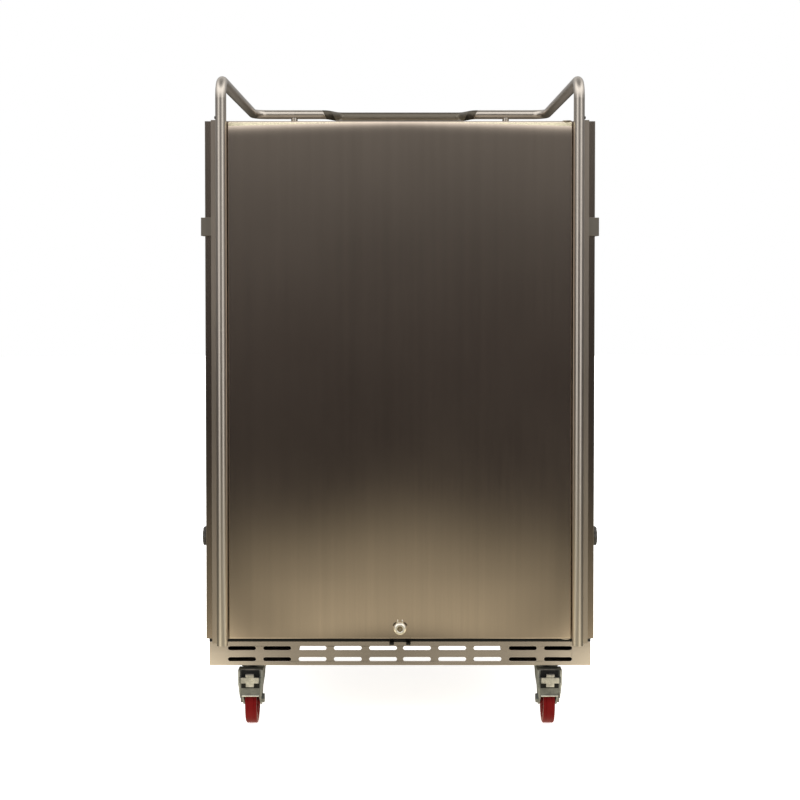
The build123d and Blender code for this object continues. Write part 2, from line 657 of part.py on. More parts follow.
def air_baffle():
    """Sheet in front of the fan, with a round grille and outlet slots along its edges."""
    sheet = block(-320, 320, BAFFLE_Y, BAFFLE_Y + 1.5, LINER_FLOOR + 70, CAVITY_TOP - 20)
    for angle in range(0, 360, 30):
        for ring in (30, 55):
            hole_x = ring * math.cos(math.radians(angle))
            hole_z = FAN_Z + ring * math.sin(math.radians(angle))
            sheet = sheet - rod_y(hole_x, BAFFLE_Y - 1, BAFFLE_Y + 3, hole_z, ring / 5)
    for side in (-1, 1):
        for number in range(SHELF_COUNT):
            z = SHELF_FIRST_Z + (number + 0.5) * SHELF_PITCH
            sheet = sheet - block(side * 260 - 30, side * 260 + 30, BAFFLE_Y - 1, BAFFLE_Y + 3,
                                  z - 5, z + 5)
    return sheet


def heater_element():
    """Sheathed ring round the fan, with two legs through the rear wall."""
    y = (BAFFLE_Y + CAVITY_BACK) / 2
    ring = Pos(0, y, FAN_Z) * Rot(90, 0, 0) * Torus(HEATER_R, HEATER_TUBE_R)
    for x in (-20, 20):
        ring = ring + rod_y(x, y, CAVITY_BACK + 12, FAN_Z - HEATER_R, HEATER_TUBE_R)
    return ring


def fan_motor():
    """Motor in the rear wall, with its shaft reaching into the plenum."""
    can = rod_y(0, CAVITY_BACK, BODY_BACK - SKIN, FAN_Z, MOTOR_R)
    return can + rod_y(0, BAFFLE_Y + 8, CAVITY_BACK, FAN_Z, FAN_SHAFT_R)


def fan_rotor():
    """Radial rotor: a back disc, a hub and straight blades."""
    rear = CAVITY_BACK - LINER - 5
    front = BAFFLE_Y + 10
    rotor = rod_y(0, rear - 2, rear, FAN_Z, FAN_R)
    rotor = rotor + rod_y(0, front, rear, FAN_Z, 12)
    for number in range(8):
        blade = block(50, FAN_R - 2, front, rear - 1, -1, 1)
        turned = Rot(0, number * 45, 0) * blade
        rotor = rotor + Pos(0, 0, FAN_Z) * turned
    return rotor - rod_y(0, front - 1, rear + 1, FAN_Z, FAN_SHAFT_R + RUN_FIT)


# ---- controls -------------------------------------------------------------------------------
def control_box():
    """Folded cover on the roof; its rear face carries the controls."""
    cover = block(-BOX_HALF_W, BOX_HALF_W, BOX_FRONT, BOX_BACK, BODY_TOP, BOX_TOP)
    cover = cover - block(-BOX_HALF_W + SKIN, BOX_HALF_W - SKIN, BOX_FRONT + SKIN, BOX_BACK - SKIN,
                          BODY_TOP - 1, BOX_TOP - SKIN)
    cover = cover + rod_y(DIAL_X, BOX_BACK - 1, BOX_BACK + 8, PANEL_Z, DIAL_STUD_R)
    cover = cover - block(SWITCH_X - 8, SWITCH_X + 8, BOX_BACK - 5, BOX_BACK + 1,
                          PANEL_Z - 12, PANEL_Z + 12)
    cover = cover + rod_x(SWITCH_X - 9, SWITCH_X + 9, BOX_BACK - 2, PANEL_Z, SWITCH_PIN_R)
    cover = cover - block(INLET_X - 12, INLET_X + 12, BOX_BACK - 5, BOX_BACK + 1,
                          PANEL_Z - 10, PANEL_Z + 10)
    for x in LAMP_XS:
        cover = cover - rod_y(x, BOX_BACK - 5, BOX_BACK + 1, PANEL_Z, LAMP_R)
    return cover


def temperature_dial():
    """Round dial with a raised pointer rib."""
    dial = rod_y(DIAL_X, BOX_BACK + CONTACT_GAP, BOX_BACK + 14, PANEL_Z, DIAL_R)
    dial = dial + block(DIAL_X - 1.5, DIAL_X + 1.5, BOX_BACK + 13, BOX_BACK + 16,
                        PANEL_Z, PANEL_Z + DIAL_R)
    return dial - rod_y(DIAL_X, BOX_BACK, BOX_BACK + 8.5, PANEL_Z, DIAL_STUD_R + RUN_FIT)


def power_switch():
    """Rocker that tips on a cross pin."""
    rocker = block(SWITCH_X - 7, SWITCH_X + 7, BOX_BACK - 4, BOX_BACK + 3,
                   PANEL_Z - 10.5, PANEL_Z + 10.5)
    return rocker - rod_x(SWITCH_X - 8, SWITCH_X + 8, BOX_BACK - 2, PANEL_Z,
                          SWITCH_PIN_R + RUN_FIT)


def power_inlet():
    """Flanged socket with three blades, in the rear face of the control box."""
    socket = block(INLET_X - 16, INLET_X + 16, BOX_BACK, BOX_BACK + 3, PANEL_Z - 14, PANEL_Z + 14)
    socket = socket + block(INLET_X - 12, INLET_X + 12, BOX_BACK - 24, BOX_BACK,
                            PANEL_Z - 10, PANEL_Z + 10)
    socket = socket - block(INLET_X - 10, INLET_X + 10, BOX_BACK - 18, BOX_BACK + 4,
                            PANEL_Z - 8, PANEL_Z + 8)
    for x in (-6, 0, 6):
        socket = socket + block(INLET_X + x - 1, INLET_X + x + 1, BOX_BACK - 19, BOX_BACK - 2,
                                PANEL_Z - 2, PANEL_Z + 2)
    return socket


def pilot_lamps():
    """Two round lenses beside the dial."""
    return group([rod_y(x, BOX_BACK - 4, BOX_BACK + 3, PANEL_Z, LAMP_R) for x in LAMP_XS])


# ---- the nodes ------------------------------------------------------------------------------
def caster_nodes():
    """Every caster's own pieces; only the front pair is braked."""
    corners = {
        "front_left": (-CASTER_X, CASTER_FRONT_Y),
        "front_right": (CASTER_X, CASTER_FRONT_Y),
        "rear_left": (-CASTER_X, CASTER_REAR_Y),
        "rear_right": (CASTER_X, CASTER_REAR_Y),
    }
    made = {"caster_plates": caster_plates(corners.values())}
    for corner, (x, y) in corners.items():
        braked = corner.startswith("front")
        made["fork_" + corner] = fork(x, y, braked)
        made["axle_" + corner] = axle(x, y)
        made["wheel_" + corner] = wheel(x, y)
        if braked:
            made["brake_pedal_" + corner] = brake_pedal(x, y)
    return made


def nodes():
    """Every named piece of the cabinet."""
    made = {
        "roof_panel": roof_panel(),
        "back_panel": back_panel(),
        "base_pan": base_pan(),
        "face_frame": face_frame(),
        "liner": liner(),
        "insulation": insulation(),
        "corner_posts": corner_posts(),
        "push_rail": push_rail(),
        "rail_stanchions": rail_stanchions(),
        "plinth_front": plinth_front(),
        "plinth_back": plinth_back(),
        "caster_channels": caster_channels(),
        "drip_seal": drip_seal(),
        "door_skin": door_skin(),
        "door_core": door_core(),
        "door_liner": door_liner(),
        "door_gasket": door_gasket(),
        "door_pivots": door_pivots(),
        "hinge_brackets": hinge_brackets(),
        "lock_ring": lock_ring(),
        "lock_plug": lock_plug(),
        "lock_cam": lock_cam(),
        "lock_keeper": lock_keeper(),
        "side_brackets": side_brackets(),
        "wall_buffers": wall_buffers(),
        "tray_racks": group([tray_rack(-1), tray_rack(1)]),
        "shelves": shelves(),
        "water_pan": water_pan(),
        "air_baffle": air_baffle(),
        "heater_element": heater_element(),
        "fan_motor": fan_motor(),
        "fan_rotor": fan_rotor(),
        "control_box": control_box(),
        "temperature_dial": temperature_dial(),
        "power_switch": power_switch(),
        "power_inlet": power_inlet(),
        "pilot_lamps": pilot_lamps(),
    }
    for name, side in (("left", -1), ("right", 1)):
        made["side_panel_" + name] = side_panel(side)
        made["rail_post_" + name] = rail_post(side)
        made["side_rail_" + name] = side_rail(side)
        made["vent_knob_" + name] = vent_knob(side)
    made.update(caster_nodes())
    return made


os.makedirs("parts", exist_ok=True)
for node_name, shape in nodes().items():
    export_step(shape, "parts/" + node_name + ".step")
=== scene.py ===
import json
import math

import bmesh
import bpy
from mathutils import Matrix, Vector


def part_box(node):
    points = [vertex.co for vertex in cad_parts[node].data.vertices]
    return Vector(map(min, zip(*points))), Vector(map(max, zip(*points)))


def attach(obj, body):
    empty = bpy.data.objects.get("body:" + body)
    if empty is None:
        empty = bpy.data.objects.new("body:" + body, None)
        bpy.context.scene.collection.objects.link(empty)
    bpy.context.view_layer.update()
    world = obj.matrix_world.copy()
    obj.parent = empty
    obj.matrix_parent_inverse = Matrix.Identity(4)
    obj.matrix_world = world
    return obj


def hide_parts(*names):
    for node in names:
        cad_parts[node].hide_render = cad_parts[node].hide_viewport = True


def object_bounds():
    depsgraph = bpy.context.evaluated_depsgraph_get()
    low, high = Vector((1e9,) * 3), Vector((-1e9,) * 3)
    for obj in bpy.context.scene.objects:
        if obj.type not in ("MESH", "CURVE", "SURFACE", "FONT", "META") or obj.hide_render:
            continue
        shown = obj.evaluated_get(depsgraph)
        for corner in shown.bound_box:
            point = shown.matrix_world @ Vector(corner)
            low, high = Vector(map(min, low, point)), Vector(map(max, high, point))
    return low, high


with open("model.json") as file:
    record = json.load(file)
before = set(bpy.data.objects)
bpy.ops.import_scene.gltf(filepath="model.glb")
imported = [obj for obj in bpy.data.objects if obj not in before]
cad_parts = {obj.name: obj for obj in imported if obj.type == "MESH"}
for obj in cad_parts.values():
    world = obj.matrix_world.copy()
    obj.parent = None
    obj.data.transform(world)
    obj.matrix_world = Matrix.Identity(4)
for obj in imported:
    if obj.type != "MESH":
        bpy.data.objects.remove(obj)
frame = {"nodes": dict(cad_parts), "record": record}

# Looks of a stainless proofing cabinet: studio, camera, materials and the small pieces that the
# frame leaves plain. Metres, +Z up, the door faces -Y.

cad_low, cad_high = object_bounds()

CAMERA_DISTANCE = 3.30       # from the door's front face
CAMERA_HEIGHT = 0.941
CAMERA_DOWN = 1.6            # degrees
CAMERA_LENS = 74.25
CAMERA_SHIFT_Y = -0.1086
FLOOR_WHITE = 0.80           # glow that keeps the floor pale in the picture
DIAL_STUD = 0.008            # the control box's node reaches this far past its rear face


# ---- places from the frame ----
def box(node):
    """The two corners of a node's box."""
    low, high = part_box(node)
    return Vector(low), Vector(high)


def middle(node):
    """Centre of a node's box."""
    low, high = box(node)
    return (low + high) / 2


door_low, door_high = box("door_skin")
panel_low, panel_high = box("side_panel_right")
back_low, back_high = box("back_panel")
roof_top = box("roof_panel")[1].z
plinth_top = box("plinth_front")[1].z
control_low, control_high = box("control_box")
control_face = control_high.y - DIAL_STUD


# ---- node helpers ----
TINTS = {"white": (1.0, 1.0, 1.0), "rose": (1.0, 0.88, 0.87), "amber": (1.0, 0.92, 0.70)}
BRIGHTEST = 2.0              # ramps hold brightness divided by this


class Tree:
    """Short calls for the nodes of one node tree."""

    def __init__(self, tree):
        self.nodes = tree.nodes
        self.links = tree.links

    def put(self, socket, value):
        """Another socket, a colour or a number into an input."""
        if hasattr(value, "links"):
            self.links.new(value, socket)
        elif socket.type == "RGBA" and len(value) == 3:
            socket.default_value = (*value, 1.0)
        else:
            socket.default_value = value

    def add(self, kind, inputs=None):
        """A shader node, with what goes into its inputs by name or number."""
        node = self.nodes.new("ShaderNode" + kind)
        for name, value in (inputs or {}).items():
            self.put(node.inputs[name], value)
        return node

    def maths(self, operation, first, second=0.0):
        """Two values combined."""
        node = self.add("Math", {0: first, 1: second})
        node.operation = operation
        return node.outputs[0]

    def mix(self, factor, first, second, mode="MIX"):
        """Two colours mixed by a factor."""
        node = self.nodes.new("ShaderNodeMix")
        node.data_type = "RGBA"
        node.blend_type = mode
        for slot, value in ((0, factor), (6, first), (7, second)):
            self.put(node.inputs[slot], value)
        return node.outputs[2]

    def remap(self, value, low, high, out_low, out_high):
        """A value carried from one range to another, clamped."""
        ends = {"From Min": low, "From Max": high, "To Min": out_low, "To Max": out_high}
        return self.add("MapRange", {"Value": value, **ends}).outputs[0]

    def ramp(self, value, stops, span=1.0):
        """A colour ramp through (position, brightness, tint) stops, white where no tint is given."""
        node = self.add("ValToRGB", {"Fac": value})
        elements = node.color_ramp.elements
        while len(elements) < len(stops):
            elements.new(0.5)
        for element, (position, level, *tint) in zip(elements, stops):
            colour = TINTS[tint[0] if tint else "white"]
            element.position = position / span
            element.color = (*[level * channel / BRIGHTEST for channel in colour], 1)
        return node.outputs["Color"]

    def relief(self, height, strength, distance=0.0005):
        """Surface relief from a value."""
        values = {"Strength": strength, "Distance": distance, "Height": height}
        return self.add("Bump", values).outputs["Normal"]

    def either(self, factor, first, second):
        """Two shaders mixed by a factor."""
        return self.add("MixShader", {0: factor, 1: first, 2: second}).outputs[0]

    def show(self, output, shader):
        """A shader into the surface of an output node."""
        self.put(self.nodes[output].inputs["Surface"], shader)

    def split(self, place):
        """The three coordinates of a place."""
        return self.add("SeparateXYZ", {"Vector": place}).outputs

    def turn(self, x, y):
        """0 for the direction of -Y, 0.5 for either side and 1 for +Y."""
        aside = self.maths("ABSOLUTE", x)
        ahead = self.maths("MULTIPLY", y, -1.0)
        return self.maths("DIVIDE", self.maths("ARCTAN2", aside, ahead), math.pi)


class Shader(Tree):
    """A material under construction."""

    def __init__(self, name):
        self.material = bpy.data.materials.new(name)
        self.material.use_nodes = True
        super().__init__(self.material.node_tree)
        self.bsdf = self.nodes["Principled BSDF"]
        self.coords = self.add("TexCoord").outputs["Object"]

    def dress(self, inputs):
        """Feeds the shader's inputs by name and gives its material."""
        for name, value in inputs.items():
            self.put(self.bsdf.inputs[name], value)
        return self.material

    def noise(self, scale, detail, rough, stretch=(1, 1, 1)):
        """Noise in the object's own space, stretched along axes."""
        place = self.add("Mapping", {"Vector": self.coords, "Scale": stretch}).outputs[0]
        values = {"Vector": place, "Scale": scale, "Detail": detail, "Roughness": rough}
        return self.add("TexNoise", values).outputs["Fac"]


# ---- materials ----
GRAIN_STRETCH = {"Z": (1, 1, 0.012), "Y": (1, 0.012, 1), "X": (0.012, 1, 1)}
GRIME = (0.03, 0.028, 0.025)
GRIP_OVER = (0.165, 0.145, 0.115)    # the coating on top of the grip
GRIP_PAINTED_LIGHT = (0.66, 0.585, 0.47)     # and a lighter colour of it towards the underside: painted light
PAINTED_LIGHT_FROM, PAINTED_LIGHT_TO = 0.6, 0.1    # shares of the rail's height where the painted light on the underside starts and ends
GRIP_HALF = 0.158            # half the length of the grip's coating, at its underside
CUFF_HALF = 0.179            # the same over the dark cuffs on its two bends
CUFF_SLANT = 0.5             # the cuffs' ends lean out by this much of the height
CUFF_DARK = (0.115, 0.100, 0.078)
GRIP_RIBS = 90               # scale of the grip's ribs


def shaded(colour, share):
    """A colour made darker or lighter."""
    return tuple(min(1.0, channel * share) for channel in colour)


def brushed_steel(name, colour, grain="Z", roughness=0.2, spread=0.06, streaks=0.12, relief=0.05,
                  metallic=1.0):
    """Directional satin steel: long faint streaks, fine grain, handling marks and soft smears."""
    shader = Shader(name)
    fine = shader.noise(900, 2.0, 0.6, GRAIN_STRETCH[grain])
    broad = shader.noise(55, 4.0, 0.65, GRAIN_STRETCH[grain])
    smear = shader.noise(2.4, 4.0, 0.55, (1, 1, 0.8))
    dark = shaded(colour, 1 - streaks)
    light = shaded(colour, 1 + streaks * 0.6)
    tone = shader.mix(shader.remap(broad, 0.32, 0.68, 0.0, 1.0), dark, light)
    hair = shader.remap(fine, 0.35, 0.65, 0.0, 0.22)
    wiped = shader.remap(smear, 0.35, 0.7, 0.0, spread)
    grainy = shader.remap(fine, 0.3, 0.7, -spread * 0.4, spread * 0.4)
    return shader.dress({
        "Base Color": shader.mix(hair, tone, dark), "Metallic": metallic,
        "Roughness": shader.maths("ADD", shader.maths("ADD", wiped, grainy), roughness),
        "Normal": shader.relief(fine, relief, 0.00003)})


def plated_metal(name, colour, roughness=0.35):
    """Zinc plate with a dull mottle and darker pits."""
    shader = Shader(name)
    mottle = shader.noise(120, 5.0, 0.6)
    grime = shader.noise(28, 5.0, 0.65)
    tone = shader.mix(shader.remap(mottle, 0.35, 0.7, 0.0, 0.7), colour, shaded(colour, 0.55))
    return shader.dress({
        "Base Color": shader.mix(shader.remap(grime, 0.5, 0.72, 0.0, 0.55), tone, GRIME),
        "Metallic": 0.9,
        "Roughness": shader.remap(mottle, 0.3, 0.7, roughness - 0.08, roughness + 0.18),
        "Normal": shader.relief(mottle, 0.25, 0.0002)})


def gripped_tube(name, colour):
    """Brushed tube whose middle has a dull, finely ribbed metallic coating between dark cuffs; the
    coating is painted lighter towards its underside, as painted light.
    """
    made = brushed_steel(name, colour, "X", 0.26, 0.04, 0.05, 0.02)
    tree = Tree(made.node_tree)
    metal = tree.nodes["Principled BSDF"].outputs[0]
    rail_low, rail_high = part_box("push_rail")
    place = tree.add("TexCoord").outputs["Object"]
    x, _, z = tree.split(place)
    rise = tree.maths("SUBTRACT", z, rail_low[2])
    aside = tree.maths("ABSOLUTE", x)
    aside = tree.maths("SUBTRACT", aside, tree.maths("MULTIPLY", rise, CUFF_SLANT))
    share = tree.maths("DIVIDE", rise, rail_high[2] - rail_low[2])
    # painted light: the coating's colour turns lighter towards the rail's underside
    wear_and_painted_light = tree.mix(tree.remap(share, PAINTED_LIGHT_TO, PAINTED_LIGHT_FROM, 0.0, 1.0), GRIP_PAINTED_LIGHT, GRIP_OVER)
    cuffed = tree.maths("GREATER_THAN", aside, GRIP_HALF)
    ribs = tree.add("TexWave", {"Scale": GRIP_RIBS, "Vector": place})
    ribs.bands_direction = "X"
    coat = tree.add("BsdfPrincipled", {
        "Base Color": tree.mix(cuffed, wear_and_painted_light, CUFF_DARK), "Roughness": 0.44, "Metallic": 0.95,
        "Normal": tree.relief(ribs.outputs["Fac"], 0.35, 0.0006)})
    coated = tree.maths("LESS_THAN", aside, CUFF_HALF)
    tree.show("Material Output", tree.either(coated, metal, coat.outputs[0]))
    return made


def moulded(name, colour, roughness=0.4, grit=420, relief=0.25, wear=0.25, shine=0.5):
    """Moulded plastic or rubber with a fine texture and slightly rubbed patches."""
    shader = Shader(name)
    texture = shader.noise(grit, 3.0, 0.6)
    rub = shader.noise(22, 4.0, 0.6)
    wear_and_painted_light = tuple(min(1.0, channel * (1 + wear) + wear * 0.02) for channel in colour)
    return shader.dress({
        "Base Color": shader.mix(shader.remap(rub, 0.42, 0.7, 0.0, 1.0), colour, wear_and_painted_light),
        "Roughness": shader.remap(rub, 0.3, 0.7, roughness - 0.06, roughness + 0.12),
        "Specular IOR Level": shine,
        "Normal": shader.relief(texture, relief, 0.0002)})


def foam(name, colour):
    """Closed-cell foam with open cut cells."""
    shader = Shader(name)
    cells = shader.add("TexVoronoi", {"Scale": 350, "Vector": shader.coords})
    size = cells.outputs["Distance"]
    tone = shader.mix(shader.remap(size, 0.0, 0.6, 0.0, 1.0), shaded(colour, 0.7), colour)
    return shader.dress({"Base Color": tone, "Roughness": 0.9,
                         "Normal": shader.relief(size, 0.5, 0.0008)})


def lens(name, colour):
    """Ribbed translucent pilot lens, faintly lit."""
    shader = Shader(name)
    values = {"Scale": 260, "Distortion": 0.4, "Vector": shader.coords}
    rings = shader.add("TexWave", values).outputs["Fac"]
    return shader.dress({
        "Base Color": shader.mix(rings, shaded(colour, 0.55), colour), "Roughness": 0.16,
        "Emission Color": colour, "Emission Strength": 0.25,
        "Normal": shader.relief(rings, 0.3, 0.0002)})


# A finish for each material slot and for some single pieces: its kind and values.
FINISHES = {
    "side_steel": (brushed_steel, (0.42, 0.36, 0.30), "Z", 0.24),
    "frame_steel": (brushed_steel, (0.52, 0.46, 0.38), "Z", 0.42),
    "door_steel": (brushed_steel, (0.66, 0.55, 0.45), "Z", 0.15, 0.03, 0.05, 0.03),
    "tube_steel": (brushed_steel, (0.62, 0.56, 0.49), "Z", 0.28, 0.04, 0.05, 0.02),
    "plinth_steel": (brushed_steel, (0.665, 0.595, 0.550), "X", 0.2, 0.05, 0.06),
    "liner_steel": (brushed_steel, (0.66, 0.65, 0.62), "X", 0.26, 0.06, 0.12, 0.05, 0.8),
    "insulation_foam": (foam, (0.80, 0.74, 0.55)),
    "seal_rubber": (moulded, (0.006, 0.006, 0.006), 0.6, 500, 0.3, 0.1, 0.25),
    "lock_chrome": (brushed_steel, (0.93, 0.88, 0.77), "X", 0.34, 0.05),
    "pin_steel": (brushed_steel, (0.60, 0.58, 0.55), "X", 0.25),
    "black_steel": (moulded, (0.004, 0.004, 0.0035), 0.5, 700, 0.2, 0.1, 0.25),
    "zinc_steel": (plated_metal, (0.205, 0.21, 0.20)),
    "pedal_zinc": (plated_metal, (0.72, 0.70, 0.64), 0.3),
    "wheel_red": (moulded, (0.118, 0.002, 0.003), 0.46, 260, 0.15, 0.2, 0.07),
    "heater_steel": (plated_metal, (0.30, 0.25, 0.21), 0.4),
    "motor_body": (moulded, (0.06, 0.065, 0.07), 0.4, 500, 0.2),
    "fan_aluminium": (brushed_steel, (0.75, 0.75, 0.76), "X", 0.3),
    "knob_grey": (moulded, (0.045, 0.042, 0.038), 0.42, 500, 0.25),
    "control_black": (moulded, (0.018, 0.018, 0.018), 0.36, 600, 0.2),
    "lamp_lens": (lens, (0.85, 0.30, 0.04)),
    "lock_brass": (brushed_steel, (0.24, 0.19, 0.12), "X", 0.42, 0.05, 0.2),
    "cheek_zinc": (plated_metal, (0.36, 0.365, 0.345)),
    "mark_brown": (moulded, (0.075, 0.058, 0.036), 0.5, 500, 0.2, 0.2, 0.3),
}
LOOKS = {name: kind(name, *values) for name, (kind, *values) in FINISHES.items()}
NODE_LOOKS = {
    "push_rail": gripped_tube("grip_steel", (0.61, 0.55, 0.48)),
    "face_frame": brushed_steel("face_steel", (0.46, 0.38, 0.31), "Z", 0.17, 0.04, 0.08, 0.03),
    "corner_posts": brushed_steel("post_steel", (0.50, 0.43, 0.36), "Z", 0.34),
    "roof_panel": brushed_steel("roof_steel", (0.46, 0.41, 0.35), "Y", 0.26),
    "control_box": brushed_steel("box_steel", (0.52, 0.47, 0.40), "X", 0.28),
    "side_brackets": brushed_steel("strap_steel", (0.29, 0.26, 0.22), "Z", 0.42),
}
for row in frame["record"]["subparts"]:
    for material_slot in frame["nodes"][row["node"]].material_slots:
        material_slot.material = NODE_LOOKS.get(row["node"], LOOKS[row["material_slot"]])


# ---- studio ----
# What the steel reflects, as (position, brightness, tint). Height is 0 straight down, 0.5 at the
# horizon and 1 straight up. Turn is 0 in front of the door, 0.5 square to the side and 1 behind.
ROOM_AHEAD = [(0.0, 0.020, "amber"), (0.430, 0.034, "rose"), (0.459, 0.040, "rose"),
              (0.489, 0.060, "rose"), (0.519, 0.092), (0.534, 0.125), (0.541, 0.165),
              (0.560, 0.225), (0.600, 0.33), (0.660, 0.72), (0.740, 1.25), (0.840, 1.65),
              (0.900, 1.50), (0.940, 0.65), (1.0, 0.20)]
ROOM_BEHIND = [(0.0, 0.04, "amber"), (0.47, 0.06, "amber"), (0.50, 0.20), (0.56, 0.34),
               (0.70, 0.55), (0.84, 0.75), (1.0, 0.35)]
BEHIND_FROM, BEHIND_TO = 0.50, 0.75
PANELS_BY_TURN = [(0.0, 0.0), (0.10, 0.0), (0.17, 1.0), (0.28, 1.0), (0.35, 0.04), (1.0, 0.0)]
PANELS_BY_HEIGHT = [(0.0, 0.0), (0.30, 0.0), (0.38, 1.0), (0.62, 1.0), (0.72, 0.2), (1.0, 0.0)]
FLOOR_BY_TURN = [(0.0, 1.0), (0.05, 1.0), (0.065, 0.85), (0.08, 0.64), (0.10, 0.56), (0.12, 0.66),
                 (0.17, 1.95), (0.25, 1.90), (0.34, 0.35), (0.60, 0.30), (1.0, 0.35)]
FLOOR_REACH = 4.5            # metres that the floor's ramp spans
FLOOR_AHEAD = 0.40           # how much farther the light reaches straight ahead
AHEAD_TO = 0.035             # turn at which that has died out
AHEAD_FROM = (1.5, 2.6)      # distances between which it comes in
FLOOR_GLOW = [(0.0, 0.82, "amber"), (1.08, 0.82, "amber"), (1.27, 0.55, "amber"),
              (1.60, 0.47, "amber"), (2.00, 0.41, "amber"), (2.50, 0.27, "amber"),
              (3.00, 0.13, "amber"), (3.50, 0.065, "rose"), (3.90, 0.045, "rose"),
              (4.50, 0.04, "rose")]
FLOOR_FADE = (2.9, 3.9)      # where the lit floor gives way to the room
SHADE_PLACE = (0.0, -0.95)   # dim patch on the floor before the middle of the base
SHADE_SIZE = (0.38, 0.27)
SHADE_CORE = 0.2             # share of its size that is darkest
SHADE_DEPTH = 0.95
FLOOR_RADIUS = 14
FLOOR_GAP = 0.0002           # the floor lies this far under the wheels


def link(name, data):
    """A new object in the scene."""
    made = bpy.data.objects.new(name, data)
    bpy.context.collection.objects.link(made)
    return made


def add_camera():
    """A low, square-on view of the door."""
    data = bpy.data.cameras.new("camera")
    data.lens = CAMERA_LENS
    data.shift_y = CAMERA_SHIFT_Y
    data.clip_end = 60
    camera = link("camera", data)
    camera.location = (0, door_low.y - CAMERA_DISTANCE, CAMERA_HEIGHT)
    camera.rotation_euler = (math.radians(90 - CAMERA_DOWN), 0, 0)
    bpy.context.scene.camera = camera


def add_softbox(name, place, target, width, height, power):
    """A rectangular warm area light aimed at a point, unseen in reflections."""
    data = bpy.data.lights.new(name, "AREA")
    data.shape = "RECTANGLE"
    data.size = width
    data.size_y = height
    data.energy = power
    data.color = (1.0, 0.95, 0.88)
    lamp = link(name, data)
    lamp.visible_glossy = False
    lamp.location = place
    lamp.rotation_euler = (Vector(target) - Vector(place)).to_track_quat("-Z", "Y").to_euler()


def studio_world():
    """White behind the object. In reflections: a dim warm room, bright above, with broad panels."""
    world = bpy.data.worlds.new("studio")
    bpy.context.scene.world = world
    world.use_nodes = True
    sky = Tree(world.node_tree)
    ahead = sky.split(sky.add("TexCoord").outputs["Generated"])
    turn = sky.turn(ahead["X"], ahead["Y"])
    height = sky.maths("ADD", sky.maths("MULTIPLY", ahead["Z"], 0.5), 0.5)
    past = sky.remap(turn, BEHIND_FROM, BEHIND_TO, 0.0, 1.0)
    room = sky.mix(past, sky.ramp(height, ROOM_AHEAD), sky.ramp(height, ROOM_BEHIND))
    panels = sky.ramp(turn, PANELS_BY_TURN)
    strips = sky.mix(1.0, panels, sky.ramp(height, PANELS_BY_HEIGHT), "MULTIPLY")
    doubled = sky.mix(1.0, strips, strips, "ADD")
    total = sky.mix(1.0, room, doubled, "ADD")
    seen = sky.add("Background", {"Color": (1, 1, 1)}).outputs[0]
    lit = sky.add("Background", {"Color": total, "Strength": BRIGHTEST}).outputs[0]
    path = sky.add("LightPath").outputs["Is Camera Ray"]
    sky.show("World Output", sky.either(path, lit, seen))


def floor_glow(shader):
    """The floor as the steel reflects it: warm, streaked to the sides, fading with distance."""
    maths = shader.maths
    x, y, _ = shader.split(shader.coords)
    distance = maths("SQRT", maths("ADD", maths("MULTIPLY", x, x), maths("MULTIPLY", y, y)))
    turn = shader.turn(x, y)
    nearer = shader.remap(turn, 0.0, AHEAD_TO, FLOOR_AHEAD, 0.0)
    far = shader.remap(distance, *AHEAD_FROM, 0.0, 1.0)
    reach = maths("SUBTRACT", distance, maths("MULTIPLY", nearer, far))
    tone = shader.ramp(maths("DIVIDE", reach, FLOOR_REACH), FLOOR_GLOW, FLOOR_REACH)
    lit = shader.mix(1.0, tone, shader.ramp(turn, FLOOR_BY_TURN), "MULTIPLY")
    aside = maths("DIVIDE", maths("SUBTRACT", x, SHADE_PLACE[0]), SHADE_SIZE[0])
    along = maths("DIVIDE", maths("SUBTRACT", y, SHADE_PLACE[1]), SHADE_SIZE[1])
    away = maths("SQRT", maths("ADD", maths("MULTIPLY", aside, aside),
                               maths("MULTIPLY", along, along)))
    shade = shader.remap(away, SHADE_CORE, 1.0, 1.0 - SHADE_DEPTH, 1.0)
    power = maths("MULTIPLY", shade, BRIGHTEST * BRIGHTEST)
    glow = shader.add("Emission", {"Color": lit, "Strength": power}).outputs[0]
    gone = shader.remap(reach, *FLOOR_FADE, 0.0, 1.0)
    return shader.either(gone, glow, shader.add("BsdfTransparent").outputs[0])


def floor_material():
    """Pale floor; in reflections it is warm and fades into the room away from the cabinet."""
    shader = Shader("floor")
    white = shader.add("Emission", {"Color": (1, 1, 1), "Strength": FLOOR_WHITE})
    pale = shader.add("AddShader", {0: shader.bsdf.outputs[0], 1: white.outputs[0]})
    path = shader.add("LightPath").outputs["Is Camera Ray"]
    shader.show("Material Output", shader.either(path, floor_glow(shader), pale.outputs[0]))
    return shader.dress({"Base Color": (0.93, 0.93, 0.93), "Roughness": 0.9})


def add_floor():
    """A wide round floor."""
    mesh = bpy.data.meshes.new("floor")
    shape = bmesh.new()
    bmesh.ops.create_circle(shape, cap_ends=True, segments=96, radius=FLOOR_RADIUS)
    shape.to_mesh(mesh)
    shape.free()
    floor = link("floor", mesh)
    floor.location.z = cad_low[2] - FLOOR_GAP
    mesh.materials.append(floor_material())


# ---- mesh helpers ----
UP = Vector((0, 0, 1))
BACK = Vector((0, 1, 0))
FRONT = Vector((0, -1, 0))


def place_along(origin, direction):
    """A frame at a point whose Z runs along a direction."""
    turn = Vector(direction).to_track_quat("Z", "Y").to_matrix().to_4x4()
    return Matrix.Translation(Vector(origin)) @ turn


def upright(angle):
    """The direction at an angle in the plane of the door, from +X towards +Z."""
    return Vector((math.cos(angle), 0, math.sin(angle)))


def plain(angle):
    """The outline of a round ring, as a share of its radius at an angle."""
    return 1.0


def circle(place, radius, height, segments, outline=plain):
    """Points round a frame's axis at one height."""
    points = []
    for step in range(segments):
        angle = 2 * math.pi * step / segments
        out = radius * outline(angle)
        points.append(place @ Vector((out * math.cos(angle), out * math.sin(angle), height)))
    return points


